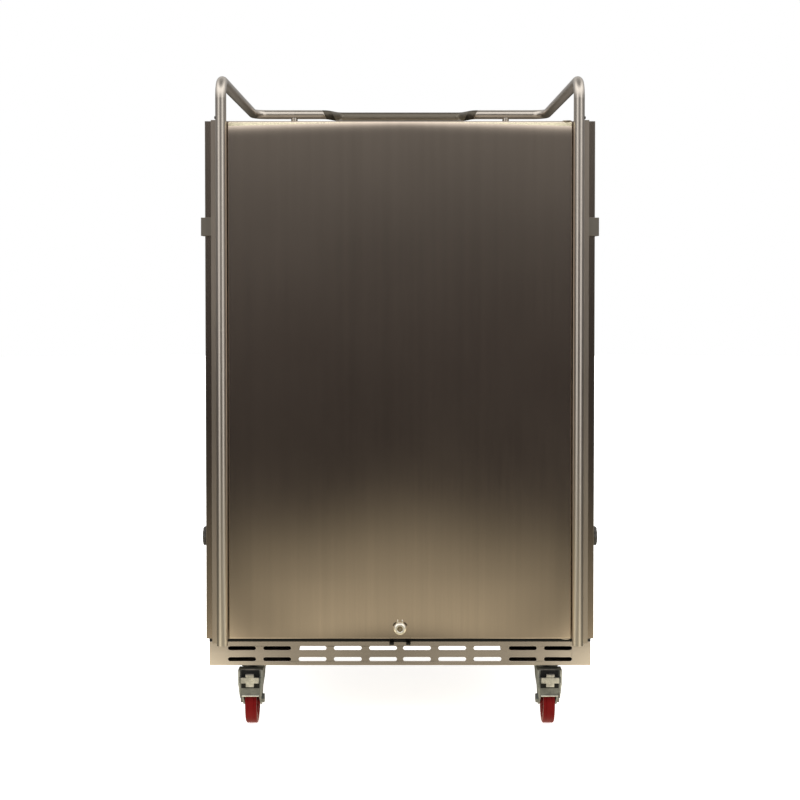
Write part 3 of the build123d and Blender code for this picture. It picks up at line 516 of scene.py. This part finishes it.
def add_rings(shape, rings, closed_ends=True):
    """Joins equal closed rings of points into a skin, with its ends capped."""
    rows = [[shape.verts.new(point) for point in ring] for ring in rings]
    count = len(rows[0])
    for near, far in zip(rows, rows[1:]):
        for index in range(count):
            following = (index + 1) % count
            shape.faces.new((near[index], near[following], far[following], far[index]))
    if closed_ends:
        shape.faces.new(list(reversed(rows[0])))
        shape.faces.new(rows[-1])


def add_turned(shape, place, profile, segments=28):
    """A turned solid: profile is (radius, height) from its base to its tip."""
    add_rings(shape, [circle(place, *point, segments) for point in profile])


def add_hoop(shape, place, profile, segments=48):
    """A ring whose closed section is (radius, height)."""
    rings = [circle(place, *point, segments) for point in profile]
    add_rings(shape, rings + rings[:1], False)


def add_plate(shape, low, high, edge=0.0006):
    """A plate between two corners, with every edge rounded."""
    centre = (Vector(low) + Vector(high)) / 2
    size = Vector(high) - Vector(low)
    made = bmesh.ops.create_cube(shape, size=1.0)["verts"]
    bmesh.ops.scale(shape, vec=size, verts=made)
    bmesh.ops.translate(shape, vec=centre, verts=made)
    edges = list({line for vert in made for line in vert.link_edges})
    width = min(edge, 0.45 * min(size))
    bmesh.ops.bevel(shape, geom=edges, offset=width, segments=2, affect="EDGES", profile=0.5)


def add_bars(shape, x, z, bars, front, back, edge):
    """Upright plates given by their left, bottom, right and top beside a point."""
    for left, bottom, right, top in bars:
        add_plate(shape, (x + left, front, z + bottom), (x + right, back, z + top), edge)


def add_placed_plate(shape, place, low, high, edge):
    """A plate whose two corners are given in a frame of its own."""
    plate = bmesh.new()
    add_plate(plate, low, high, edge)
    bmesh.ops.transform(plate, matrix=place, verts=plate.verts)
    mesh = bpy.data.meshes.new("plate")
    plate.to_mesh(mesh)
    plate.free()
    shape.from_mesh(mesh)
    bpy.data.meshes.remove(mesh)


def six_sided(angle):
    """A hexagon's reach at an angle, as a share of its corners' reach."""
    offset = (angle + math.pi / 6) % (math.pi / 3) - math.pi / 6
    return math.cos(math.pi / 6) / math.cos(offset)


# A button head's rings: share of its radius, share of its height, and its outline.
SCREW_RINGS = ((1.0, 0.0, plain), (1.0, 0.35, plain), (0.82, 0.8, plain), (0.6, 1.0, plain),
               (0.42, 1.0, six_sided), (0.42, 0.45, six_sided))


def add_screw(shape, origin, direction, radius=0.0045, height=0.0022):
    """Button head with a hexagon socket."""
    place = place_along(origin, direction)
    add_rings(shape, [circle(place, radius * scale, height * level, 24, outline)
                      for scale, level, outline in SCREW_RINGS])


def add_wire(shape, points, radius, closed=False):
    """A round wire through points."""
    rings = []
    count = len(points)
    for index, point in enumerate(points):
        ahead = points[(index + 1) % count] if closed or index + 1 < count else point
        behind = points[index - 1] if closed or index else point
        rings.append(circle(place_along(point, ahead - behind), radius, 0, 8))
    if closed:
        rings.append(rings[0])
    add_rings(shape, rings, not closed)


def make_piece(name, shape, slot_name, body="cabinet", replaced=(), sharp=35, look=None):
    """Turns a bmesh into an object that rides on a body in a material slot's finish."""
    bmesh.ops.remove_doubles(shape, verts=shape.verts, dist=1e-7)
    bmesh.ops.recalc_face_normals(shape, faces=shape.faces)
    mesh = bpy.data.meshes.new(name)
    shape.to_mesh(mesh)
    shape.free()
    made = link(name, mesh)
    mesh.materials.append(LOOKS[look or slot_name])
    mesh.shade_smooth()
    mesh.set_sharp_from_angle(angle=math.radians(sharp))
    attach(made, body)
    if replaced:
        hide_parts(*replaced)
    return made


# ---- door ----
TOP_REACH = 0.036            # the sheet starts to lean back this far below its top edge
TOP_LEAN = (16.0, 12.0, 1.3)         # degrees at the edge: middle, more at the ends, power
TOP_SHAPE = (5.5, 2.6, 0.8)          # how fast the lean dies out: middle, less at the ends, power
ROLL_BOTTOM = 0.0012
ROLL_SIDE = 0.0015
ROLL_STEPS = 12
SHEET = 0.0015
SLOT_PLAY = 0.003            # room round the lock's cam in the slot of the bottom return
GASKET_BAND = 0.020
# The gasket's section: shares of the band inwards and of its depth outwards.
GASKET_SECTION = ((0.0, 0.0), (1.0, 0.0), (1.0, 0.35), (0.86, 0.95), (0.74, 1.0), (0.62, 0.55),
                  (0.38, 0.55), (0.26, 1.0), (0.14, 0.95), (0.0, 0.35))


def rolled(distance, radius):
    """How far the sheet falls back at a distance inside an edge with a rolled rim."""
    if distance >= radius:
        return 0.0
    return radius * (1 - math.sqrt(max(0.0, 1 - (1 - distance / radius) ** 2)))


def leaned(distance, aside):
    """How far the sheet's top leans back; aside runs from 0 at its middle to 1 at its ends."""
    if distance >= TOP_REACH:
        return 0.0
    lean = math.radians(TOP_LEAN[0] + TOP_LEAN[1] * aside ** TOP_LEAN[2])
    power = TOP_SHAPE[0] - TOP_SHAPE[1] * aside ** TOP_SHAPE[2] + 1
    return lean * TOP_REACH / power * (1 - distance / TOP_REACH) ** power


def edge_steps(low, high, low_radius, high_radius, middle_steps):
    """Grid lines across the sheet, close together where an edge rolls."""
    angles = [math.pi / 2 * number / ROLL_STEPS for number in range(ROLL_STEPS + 1)]
    start = [low + low_radius * (1 - math.cos(angle)) for angle in angles]
    end = [high - high_radius * (1 - math.cos(angle)) for angle in reversed(angles)]
    span = end[0] - start[-1]
    between = [start[-1] + span * number / middle_steps for number in range(1, middle_steps)]
    return start + between + end


def door_front(shape, xs, zs):
    """Rows of points over the sheet's front, joined into faces."""
    rows = []
    for z in zs:
        row = []
        for x in xs:
            fall = rolled(z - door_low.z, ROLL_BOTTOM)
            fall += leaned(door_high.z - z, abs(x) / door_high.x)
            fall += rolled(min(x - door_low.x, door_high.x - x), ROLL_SIDE)
            row.append(shape.verts.new((x, door_low.y + fall, z)))
        rows.append(row)
    for near, far in zip(rows, rows[1:]):
        for index in range(len(xs) - 1):
            shape.faces.new((near[index], near[index + 1], far[index + 1], far[index]))
    return rows


def door_shell():
    """Front sheet with rolled edges, a leaning top and four returns, slotted for the lock's cam."""
    cam_low, cam_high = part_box("lock_cam")
    slot_start = cam_low[0] - 0.001
    xs = edge_steps(door_low.x, door_high.x, ROLL_SIDE, ROLL_SIDE, 16)
    xs = sorted(xs + [slot_start, cam_high[0]])
    zs = edge_steps(door_low.z, door_high.z, ROLL_BOTTOM, TOP_REACH, 8)
    shape = bmesh.new()
    rows = door_front(shape, xs, zs)
    depths = (cam_low[1] - SLOT_PLAY, cam_high[1] + SLOT_PLAY, door_high.y)
    rims = [(rows[0], True), (rows[-1], False),
            ([row[0] for row in rows], False), ([row[-1] for row in rows], False)]
    for rim, has_slot in rims:
        previous = rim
        for number, depth in enumerate(depths):
            following = [shape.verts.new((vert.co.x, depth, vert.co.z)) for vert in rim]
            for index in range(len(rim) - 1):
                centre_x = (rim[index].co.x + rim[index + 1].co.x) / 2
                in_slot = slot_start < centre_x < cam_high[0]
                if not (has_slot and number == 1 and in_slot):
                    shape.faces.new((previous[index], previous[index + 1],
                                     following[index + 1], following[index]))
            previous = following
    made = make_piece("door_shell", shape, "door_steel", "door", ["door_skin"], 50)
    thick = made.modifiers.new("sheet", "SOLIDIFY")
    thick.thickness = SHEET
    thick.offset = -1.0


def gasket():
    """Push-in seal with two soft lips round the chamber's mouth."""
    low, high = box("door_gasket")
    rings = []
    for inwards, out in GASKET_SECTION:
        inset = GASKET_BAND * inwards
        y = low.y + (high.y - low.y) * out
        xs = (low.x + inset, high.x - inset)
        zs = (low.z + inset, high.z - inset)
        rings.append([(xs[0], y, zs[0]), (xs[1], y, zs[0]), (xs[1], y, zs[1]), (xs[0], y, zs[1])])
    shape = bmesh.new()
    add_rings(shape, rings + rings[:1], False)
    make_piece("door_seal", shape, "seal_rubber", "door", ["door_gasket"], 50)


# ---- lock ----
COLLAR_FOOT = 0.15           # share of the collar's height below its dome
PRONG_X = 0.0045             # the two guide prongs above the collar
PRONG_HALF = 0.0012
PRONG_SINK = 0.0090          # how far they reach down from their tips
KEYWAY = 0.0016              # radius of the hole in the lock's face
MARK_GAP = 0.0022            # between the collar and the dark painted-shade marks
MARK_ANGLES = (28, 34, 40, 46, 52)
KEEPER_WALL = 0.020          # depth of the keeper's back wall
KEEPER_ARM = (0.0126, 0.0214)        # inner and outer side of each arm
KEEPER_ARM_TOP = 0.0030
KEEPER_LIFT = 0.003          # the keeper's underside above the base plate
KEEPER_LEG = 0.006           # depth of the two parts that drop behind the base plate


def lock_collar():
    """Domed chrome collar with two guide prongs, and the dark keyway face inside it."""
    ring_low, ring_high = box("lock_ring")
    plug_low, plug_high = box("lock_plug")
    lock_z = middle("lock_plug").z
    outer = ring_high.x
    height = door_low.y - ring_low.y
    dome = 1 - COLLAR_FOOT
    hole = plug_high.x + 0.0001
    collar = bmesh.new()
    profile = [(hole, 0.0), (outer, 0.0), (outer, height * COLLAR_FOOT)]
    for step in range(1, 9):
        angle = math.pi / 2 * step / 8
        profile.append((outer - height * dome * (1 - math.cos(angle)),
                        height * (COLLAR_FOOT + dome * math.sin(angle))))
    profile += [(hole + 0.0012, height), (hole, height * 0.8)]
    add_hoop(collar, place_along((0, door_low.y, lock_z), FRONT), profile, 64)
    for x in (-PRONG_X, PRONG_X):
        add_plate(collar, (x - PRONG_HALF, ring_low.y + 0.0025, ring_high.z - PRONG_SINK),
                  (x + PRONG_HALF, door_low.y, ring_high.z), 0.0009)
    make_piece("lock_collar", collar, "lock_chrome", "door", ["lock_ring"], 50)
    face = bmesh.new()
    radius = plug_high.x - 0.0002
    add_hoop(face, place_along((0, plug_low.y, lock_z), FRONT),
             [(KEYWAY, 0.0), (radius, 0.0), (radius, 0.0004), (radius * 0.9, 0.0008),
              (radius * 0.55, 0.0009), (0.0020, 0.0003), (KEYWAY, 0.0002)], 40)
    make_piece("lock_face", face, "lock_chrome", "lock", look="lock_brass")


def lock_shade_marks():
    """Short dark marks on the door on both sides of the lock's collar, painted shade there."""
    centre = Vector((0, door_low.y, middle("lock_plug").z))
    reach = box("lock_ring")[1].x + MARK_GAP
    shape = bmesh.new()
    for side in (-1, 1):
        for turn in MARK_ANGLES:
            spot = reach * upright(math.radians(turn))
            add_turned(shape, place_along(centre + Vector((side * spot.x, 0, spot.z)), FRONT),
                       [(0.0016, -0.0004), (0.0016, 0.0002), (0.0012, 0.0004)], 12)
    # dark brown look: painted shade beside the collar
    make_piece("lock_shade_marks", shape, "black_steel", "door", look="mark_brown")


def keeper():
    """Keeper for the lock's cam: a back wall with two forward arms, which also drop behind."""
    low, high = box("lock_keeper")
    wall_front = high.y - KEEPER_WALL
    half = KEEPER_ARM[1] + 0.0006
    base = plinth_top + KEEPER_LIFT
    shape = bmesh.new()
    add_plate(shape, (-half, wall_front, base), (half, high.y, high.z))
    for side in (-1, 1):
        inner, outer = sorted(side * x for x in KEEPER_ARM)
        add_plate(shape, (inner, low.y, base), (outer, wall_front + 0.001, base + KEEPER_ARM_TOP))
        add_plate(shape, (inner, high.y - KEEPER_LEG, low.z), (outer, high.y, base + 0.001))
    make_piece("keeper", shape, "black_steel", "cabinet", ["lock_keeper"])


# ---- rail ----
BEAD_INSET = 0.060           # the outer weld beads lie this far from the side panel's ends
BEAD_SECTION = ((0.0048, -0.0014), (0.0066, 0.0004), (0.0070, 0.0012), (0.0048, 0.0012))
RING_SKIN = 0.00002          # the joint rings lie this far inside the tube's skin


def rail_details():
    """Joint rings and set screws where the rail plugs into its posts, and weld beads."""
    rings = bmesh.new()
    screws = bmesh.new()
    beads = bmesh.new()
    heights = (panel_low.z + BEAD_INSET, (panel_low.z + panel_high.z) / 2,
               panel_high.z - BEAD_INSET)
    for name, side in (("left", -1), ("right", 1)):
        low, high = box("rail_post_" + name)
        radius = (high.x - low.x) / 2
        centre_x = (low.x + high.x) / 2
        centre_y = low.y + radius
        add_hoop(rings, place_along((centre_x, centre_y, high.z), UP),
                 [(radius - 0.0008, -0.0006), (radius - RING_SKIN, -0.0005),
                  (radius - RING_SKIN, 0.0005), (radius - 0.0008, 0.0006)])
        add_screw(screws, (centre_x + side * (radius - 0.0004), centre_y, high.z + 0.006),
                  (side, 0, 0), 0.0032, 0.0022)
        for z in heights:
            add_hoop(beads, place_along((centre_x, high.y - 0.0012, z), BACK), BEAD_SECTION, 32)
    make_piece("rail_joint_rings", rings, "black_steel")
    make_piece("rail_set_screws", screws, "pin_steel", look="black_steel")
    make_piece("rail_weld_beads", beads, "tube_steel")


# ---- screws and back ----
SCREW_INSET = 0.014
SCREW_COLUMNS = (-0.13, 0.13)
SCREW_ROWS = (0.47, 0.74, 0.98)
FLANGE_X = 0.258             # the stanchions' flanges on the roof, with three screws each
FLANGE_HEIGHT = 0.003
FLANGE_SCREWS = 0.0122
LOUVRE_COLUMNS = (-0.20, 0.20)
LOUVRE_BOTTOM, LOUVRE_STEP, LOUVRES = 0.93, 0.024, 7
LOUVRE_STATIONS = ((-0.070, 0.0004), (-0.064, 0.0055), (0.064, 0.0055), (0.070, 0.0004))
COVER_SECTION = ((0.062, 0.0), (0.062, 0.001), (0.060, 0.002), (0.046, 0.002), (0.043, 0.0075),
                 (0.040, 0.009), (0.012, 0.0095))
COVER_SCREWS = 0.054
BUFFER_RADIUS = 0.020
# A buffer's section round its hole: share of its radius, share of its depth.
BUFFER_SECTION = ((0.3, 0.0), (1.0, 0.0), (1.0, 0.3), (0.93, 0.75), (0.8, 0.95), (0.66, 1.0),
                  (0.5, 0.94), (0.35, 0.62), (0.3, 0.6))


def panel_screws():
    """Screws round the back panel, on the sides, on the control box and on the rail's flanges."""
    shape = bmesh.new()
    columns = [back_low.x + SCREW_INSET, *SCREW_COLUMNS, back_high.x - SCREW_INSET]
    rows = [back_low.z + SCREW_INSET, *SCREW_ROWS, back_high.z - SCREW_INSET]
    for x in columns:
        for z in rows:
            if x in (columns[0], columns[-1]) or z in (rows[0], rows[-1]):
                add_screw(shape, (x, back_high.y, z), BACK)
    for side in (-1, 1):
        for z in rows:
            spot = (side * (back_high.x + SHEET), panel_high.y - SCREW_INSET, z)
            add_screw(shape, spot, (side, 0, 0))
    for x in (control_low.x + 0.01, control_high.x - 0.01):
        for y in (control_low.y + 0.012, control_low.y + 0.12):
            add_screw(shape, (x, y, control_high.z), UP, 0.0036, 0.002)
    for x in (-FLANGE_X, FLANGE_X):
        centre = Vector((x, middle("rail_stanchions").y, roof_top + FLANGE_HEIGHT))
        for turn in (90, 210, 330):
            angle = math.radians(turn)
            spot = centre + FLANGE_SCREWS * Vector((math.cos(angle), math.sin(angle), 0))
            add_screw(shape, spot, UP, 0.0026, 0.0016)
    make_piece("panel_screws", shape, "pin_steel")


def back_louvres():
    """Two columns of pressed louvres on the back panel."""
    shape = bmesh.new()
    skin = back_high.y
    for column in LOUVRE_COLUMNS:
        for number in range(LOUVRES):
            z = LOUVRE_BOTTOM + number * LOUVRE_STEP
            rings = []
            for along, rise in LOUVRE_STATIONS:
                section = ((-0.0002, -0.008), (rise, -0.0078), (rise * 0.9, -0.005),
                           (0.0002, 0.007), (-0.0002, 0.007))
                rings.append([(column + along, skin + out, z + up) for out, up in section])
            add_rings(shape, rings)
    make_piece("back_louvres", shape, "side_steel", sharp=60)


def motor_cover():
    """Round cover of the fan motor on the back panel, with four screws."""
    cover = bmesh.new()
    centre = Vector((0, back_high.y, middle("fan_motor").z))
    add_turned(cover, place_along(centre, BACK), COVER_SECTION, 56)
    for turn in (45, 135, 225, 315):
        spot = centre + COVER_SCREWS * upright(math.radians(turn)) + 0.002 * BACK
        add_screw(cover, spot, BACK, 0.0032, 0.002)
    make_piece("motor_cover", cover, "side_steel")


def buffers():
    """Rubber stops with a domed nose and a screw in the middle."""
    low, high = box("wall_buffers")
    depth = high.y - low.y
    section = [(BUFFER_RADIUS * across, depth * out) for across, out in BUFFER_SECTION]
    rubber = bmesh.new()
    screws = bmesh.new()
    for x in (low.x + BUFFER_RADIUS, high.x - BUFFER_RADIUS):
        for z in (low.z + BUFFER_RADIUS, high.z - BUFFER_RADIUS):
            add_hoop(rubber, place_along((x, low.y, z), BACK), section, 40)
            add_screw(screws, (x, low.y + depth * 0.6, z), BACK, 0.0062, 0.004)
    make_piece("buffer_rubbers", rubber, "seal_rubber", "cabinet", ["wall_buffers"])
    make_piece("buffer_screws", screws, "pin_steel")


# ---- casters ----
WHEEL_HALF = 0.0119          # half the tread's width
WHEEL_WEB = 0.0082           # face of the web between the rim and the boss
COVER_FACE = 0.0085          # where a hub cover sits on the web
HUB_SECTION = ((0.0135, -0.001), (0.0362, -0.001), (0.0362, 0.0016), (0.0345, 0.0024),
               (0.0200, 0.0014), (0.0135, 0.0014))
HUB_RIBS = 8
APRON_AHEAD = 0.056          # the fork's apron in front of the wheel's centre
HEM_HALF, HEM_LOW, HEM_HIGH = 0.0178, 0.0672, 0.0702
NUT_HALF, NUT_LOW, NUT_HIGH = 0.0105, 0.1185, 0.1215
# Cheeks in front of the fork's legs: height, inner and outer face, depth behind the apron.
FORK_CHEEK = ((0.0640, 0.0192, 0.0212, 0.020), (0.0760, 0.0200, 0.0230, 0.024),
              (0.0930, 0.0208, 0.0250, 0.030), (0.1210, 0.0210, 0.0252, 0.034))
CHEEK_TOP = 0.1085           # underside of the plate between the cheeks
# The bars round the near-black box's two pockets behind the pedal, and the pockets' floor; the box
# is painted shade for the fork's opening.
HOUSING_BARS = ((-0.0185, 0.0845, 0.0185, 0.0870), (-0.0185, 0.0870, -0.0135, 0.1215),
                (0.0135, 0.0870, 0.0185, 0.1215), (-0.0040, 0.0870, 0.0040, 0.1215))
HOUSING_FLOOR = (-0.0185, 0.0850, 0.0185, 0.1215)
PLATE_SIZE = (0.084, 0.104)  # a caster's top plate, seen on its four bolts
BOLT_INSET = (0.009, 0.010)
BOLT_TOP = 0.125


def hub_covers(corner, centre):
    """Ribbed covers on both faces of the wheel."""
    covers = bmesh.new()
    for side in (-1, 1):
        face = place_along((centre.x + side * COVER_FACE, centre.y, centre.z), (side, 0, 0))
        add_hoop(covers, face, HUB_SECTION, 56)
        for number in range(HUB_RIBS):
            place = face @ Matrix.Rotation(2 * math.pi * number / HUB_RIBS, 4, "Z")
            add_placed_plate(covers, place, (0.014, -0.0014, 0.0005), (0.034, 0.0014, 0.0036),
                             0.0008)
    make_piece("hub_covers_" + corner, covers, "wheel_red", "roller_" + corner)


def fork_cheeks(corner, centre, apron_y):
    """Cheeks in front of the fork's legs, joined by a plate at the top."""
    cheeks = bmesh.new()
    for side in (-1, 1):
        rings = []
        for z, inner, outer, deep in FORK_CHEEK:
            corners = ((inner, -0.0010), (outer, 0.0006), (outer, deep), (inner, deep))
            rings.append([(centre.x + side * x, apron_y + y, z) for x, y in corners])
        add_rings(cheeks, rings)
    height, inner, _, deep = FORK_CHEEK[-1]
    add_plate(cheeks, (centre.x - inner - 0.001, apron_y + 0.004, CHEEK_TOP),
              (centre.x + inner + 0.001, apron_y + deep, height), 0.0008)
    make_piece("fork_cheeks_" + corner, cheeks, "zinc_steel", "caster_" + corner,
               look="cheek_zinc")


def fork_hem(corner, centre, apron_y):
    """Bright hem under the apron and a bright nut plate at its top."""
    hem = bmesh.new()
    add_plate(hem, (centre.x - HEM_HALF, apron_y - 0.0022, HEM_LOW),
              (centre.x + HEM_HALF, apron_y + 0.0030, HEM_HIGH), 0.0011)
    add_plate(hem, (centre.x - NUT_HALF, apron_y + 0.0010, NUT_LOW),
              (centre.x + NUT_HALF, apron_y + 0.0070, NUT_HIGH), 0.0010)
    make_piece("fork_hem_" + corner, hem, "pedal_zinc", "caster_" + corner)


def painted_shade_housing(corner, centre, apron_y):
    """Pressed box behind the pedal, with two pockets and a ribbed sill, near-black as painted shade
    in the fork's opening.
    """
    shape = bmesh.new()
    add_bars(shape, centre.x, 0.0, HOUSING_BARS, apron_y - 0.0016, apron_y + 0.0008, 0.0006)
    add_bars(shape, centre.x, 0.0, [HOUSING_FLOOR], apron_y - 0.0006, apron_y + 0.0012, 0.0004)
    # near-black look: painted shade where the fork's opening lies in shadow
    make_piece("painted_shade_housing_" + corner, shape, "zinc_steel", "caster_" + corner,
               look="black_steel")


def moulded_wheel(corner, low, high):
    """Wheel with crisp shoulders, two shallow tread grooves, a rim, a web and a boss."""
    radius = (high.z - low.z) / 2
    boss = (high.x - low.x) / 2
    half = [(0.0054, boss), (0.0112, boss), (0.0120, boss - 0.0008), (0.0123, WHEEL_WEB),
            (0.0370, WHEEL_WEB), (0.0384, WHEEL_HALF - 0.0010), (0.0394, WHEEL_HALF),
            (radius - 0.0026, WHEEL_HALF), (radius - 0.0008, WHEEL_HALF - 0.0009),
            (radius, WHEEL_HALF - 0.0026), (radius, 0.0066), (radius - 0.0005, 0.0062),
            (radius - 0.0005, 0.0054), (radius, 0.0050)]
    section = half + [(reach, -across) for reach, across in reversed(half)]
    shape = bmesh.new()
    add_hoop(shape, place_along((low + high) / 2, (1, 0, 0)), section, 96)
    make_piece("tyre_" + corner, shape, "wheel_red", "roller_" + corner, ["wheel_" + corner])


def caster_details(corner):
    """Everything added to one caster."""
    low, high = box("wheel_" + corner)
    centre = (low + high) / 2
    apron_y = centre.y - APRON_AHEAD
    hub_covers(corner, centre)
    fork_cheeks(corner, centre, apron_y)
    fork_hem(corner, centre, apron_y)
    if corner.startswith("front"):
        painted_shade_housing(corner, centre, apron_y)
    moulded_wheel(corner, low, high)


def caster_bolts():
    """Bolt heads at the corners of every top plate."""
    low, high = box("caster_plates")
    across, along = PLATE_SIZE
    in_x, in_y = BOLT_INSET
    shape = bmesh.new()
    for x in (low.x + in_x, low.x + across - in_x, high.x - across + in_x, high.x - in_x):
        for y in (low.y + in_y, low.y + along - in_y, high.y - along + in_y, high.y - in_y):
            add_screw(shape, (x, y, BOLT_TOP), (0, 0, -1), 0.0062, 0.0042)
    make_piece("caster_bolts", shape, "zinc_steel")


# ---- knobs and controls ----
KNOB_LOBES = 10
KNOB_SCALLOP = 0.14          # how deep the scallops cut, as a share of the radius
CAP_SECTION = ((0.0090, 0.0), (0.0090, 0.0007), (0.0082, 0.0013), (0.0030, 0.0016))
CAP_SEAT = 0.77              # share of the knob's depth where its cap sits
POINTER = (0.0118, 0.0158)   # from the knob's centre to the pointer line's ends
DIAL_RADIUS = 0.015
DIAL_RIBS = 30
TICK_REACH = 0.0185
TICKS = 11
TICK_START, TICK_STEP = 225, 27      # degrees
LAMP_RADIUS = 0.004
BEZEL_SECTION = ((0.0042, 0.0), (0.0062, 0.0), (0.0058, 0.0018), (0.0044, 0.0022))
SWITCH_BARS = ((-0.0105, 0.0115, 0.0105, 0.0145), (-0.0105, -0.0145, 0.0105, -0.0115),
               (-0.0105, -0.0115, -0.0075, 0.0115), (0.0075, -0.0115, 0.0105, 0.0115))


def scalloped(angle):
    """The knob's lobed outline."""
    return 1 - KNOB_SCALLOP * (0.5 - 0.5 * math.cos(KNOB_LOBES * angle))


# The knob's rings: share of its radius, share of its depth, and its outline.
KNOB_SECTION = ((0.96, 0.0, scalloped), (1.0, 0.14, scalloped), (1.0, 0.72, scalloped),
                (0.965, 0.9, scalloped), (0.90, 1.0, scalloped), (0.558, 1.0, plain),
                (0.5208, 0.80, plain), (0.279, 0.78, plain))


def vent_knob(name, side):
    """Scalloped knob with a recessed face, a bright cap and a pointer line."""
    low, high = box("vent_knob_" + name)
    centre = (low + high) / 2
    depth = high.x - low.x
    inner, outer = (low.x, high.x) if side > 0 else (high.x, low.x)
    radius = (high.z - low.z) / 2
    place = place_along((inner, centre.y, centre.z), (side, 0, 0))
    knob = bmesh.new()
    add_rings(knob, [circle(place, radius * scale, depth * level, KNOB_LOBES * 10, outline)
                     for scale, level, outline in KNOB_SECTION])
    make_piece("vent_grip_" + name, knob, "knob_grey", "vent_" + name, ["vent_knob_" + name])
    cap = bmesh.new()
    seat = (inner + side * depth * CAP_SEAT, centre.y, centre.z)
    add_turned(cap, place_along(seat, (side, 0, 0)), CAP_SECTION, 36)
    near, far = sorted((outer - side * 0.0006, outer - side * 0.0001))
    add_plate(cap, (near, centre.y - 0.0008, centre.z + POINTER[0]),
              (far, centre.y + 0.0008, centre.z + POINTER[1]), 0.0002)
    make_piece("vent_cap_" + name, cap, "knob_grey", "vent_" + name, look="pin_steel")


def dial_centre():
    """Where the temperature dial's axis meets the control box's rear face."""
    low, high = box("temperature_dial")
    return Vector((low.x + DIAL_RADIUS, control_face, (low.z + high.z) / 2))


def dial_scale():
    """Ticks round the temperature dial."""
    centre = dial_centre()
    ticks = bmesh.new()
    for number in range(TICKS):
        angle = math.radians(TICK_START - TICK_STEP * number)
        along = Vector((-math.cos(angle), 0, math.sin(angle)))
        place = Matrix.Translation(centre + along * TICK_REACH) @ Matrix.Rotation(-angle, 4, "Y")
        add_placed_plate(ticks, place, (-0.0016, -0.0002, -0.0004), (0.0016, 0.0003, 0.0004),
                         0.0001)
    make_piece("dial_ticks", ticks, "control_black")


def lamp_bezels():
    """Bright bezels round the two pilot lamps."""
    shape = bmesh.new()
    low, high = box("pilot_lamps")
    for x in (low.x + LAMP_RADIUS, high.x - LAMP_RADIUS):
        add_hoop(shape, place_along((x, control_face, dial_centre().z), BACK), BEZEL_SECTION, 32)
    make_piece("lamp_bezels", shape, "lock_chrome")


def dial_ribs():
    """Ribs on the dial's skirt."""
    skirt = bmesh.new()
    start = dial_centre() + 0.003 * BACK
    for number in range(DIAL_RIBS):
        spot = start + (DIAL_RADIUS - 0.0001) * upright(2 * math.pi * number / DIAL_RIBS)
        add_turned(skirt, place_along(spot, BACK),
                   [(0.0007, 0.0), (0.0007, 0.0095), (0.0004, 0.0105)], 6)
    make_piece("dial_ribs", skirt, "control_black", "temperature_control")


def switch_bezel():
    """Frame round the power switch."""
    shape = bmesh.new()
    add_bars(shape, middle("power_switch").x, dial_centre().z, SWITCH_BARS, control_face,
             control_face + 0.0016, 0.0004)
    make_piece("switch_bezel", shape, "control_black")


# ---- chamber ----
GUARD_GAP = 0.004            # the fan's guard in front of the baffle
GUARD_RINGS = (0.016, 0.034, 0.052, 0.070, 0.088)
GUARD_WIRE, SPOKE_WIRE = 0.0011, 0.0013
SPOKES = (0.014, 0.05, 0.094)        # a spoke's start, middle and bend
RIM_WIRE = 0.0016
RIM_STEPS = 10


def fan_guard():
    """Wire guard in front of the baffle's grille."""
    centre = Vector((0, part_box("air_baffle")[0][1] - GUARD_GAP, middle("fan_rotor").z))
    shape = bmesh.new()
    for radius in GUARD_RINGS:
        points = [centre + radius * upright(2 * math.pi * step / 48) for step in range(48)]
        add_wire(shape, points, GUARD_WIRE, True)
    for number in range(6):
        along = upright(math.radians(30 + 60 * number))
        points = [centre + along * reach for reach in SPOKES]
        points.append(points[-1] + 0.0045 * BACK + along * 0.003)
        add_wire(shape, points, SPOKE_WIRE)
    make_piece("fan_guard", shape, "liner_steel", sharp=60)


def pan_rim():
    """Rolled rim of the water pan."""
    low, high = box("water_pan")
    shape = bmesh.new()
    rings = []
    for step in range(RIM_STEPS):
        angle = 2 * math.pi * step / RIM_STEPS
        out = RIM_WIRE * (1 + math.cos(angle))
        z = high.z - 0.0010 + RIM_WIRE * math.sin(angle)
        rings.append([(low.x - out, low.y - out, z), (high.x + out, low.y - out, z),
                      (high.x + out, high.y + out, z), (low.x - out, high.y + out, z)])
    add_rings(shape, rings + rings[:1], False)
    make_piece("pan_rim", shape, "liner_steel", sharp=60)


def round_edges(node):
    """Softens a CAD piece's sharp edges, as folded metal is."""
    made = frame["nodes"][node]
    weld = made.modifiers.new("weld", "WELD")
    weld.merge_threshold = 0.000001
    bevel = made.modifiers.new("bevel", "BEVEL")
    bevel.width = 0.0006
    bevel.segments = 2
    bevel.limit_method = "ANGLE"
    bevel.angle_limit = math.radians(32)
    bevel.harden_normals = True
    bevel.use_clamp_overlap = True


door_shell()
gasket()
lock_collar()
lock_shade_marks()
keeper()
rail_details()
panel_screws()
back_louvres()
motor_cover()
buffers()
for corner_name in ("front_left", "front_right", "rear_left", "rear_right"):
    caster_details(corner_name)
caster_bolts()
vent_knob("left", -1)
vent_knob("right", 1)
dial_scale()
lamp_bezels()
dial_ribs()
switch_bezel()
fan_guard()
pan_rim()
for rounded_node in ("side_brackets", "control_box", "plinth_front", "hinge_brackets"):
    round_edges(rounded_node)

scene = bpy.context.scene
scene.view_settings.view_transform = "Standard"
scene.view_settings.look = "None"
add_camera()
studio_world()
add_floor()
add_softbox("top_box", (0, -0.6, 3.4), (0, 0, 0.6), 3.2, 2.2, 60)
add_softbox("left_strip", (-2.4, -1.6, 1.5), (-0.3, -0.4, 0.9), 0.5, 2.4, 26)
add_softbox("right_strip", (2.4, -1.6, 1.5), (0.3, -0.4, 0.9), 0.5, 2.4, 26)
add_softbox("rear_box", (0, 2.8, 2.2), (0, 0.2, 0.8), 2.6, 1.6, 40)
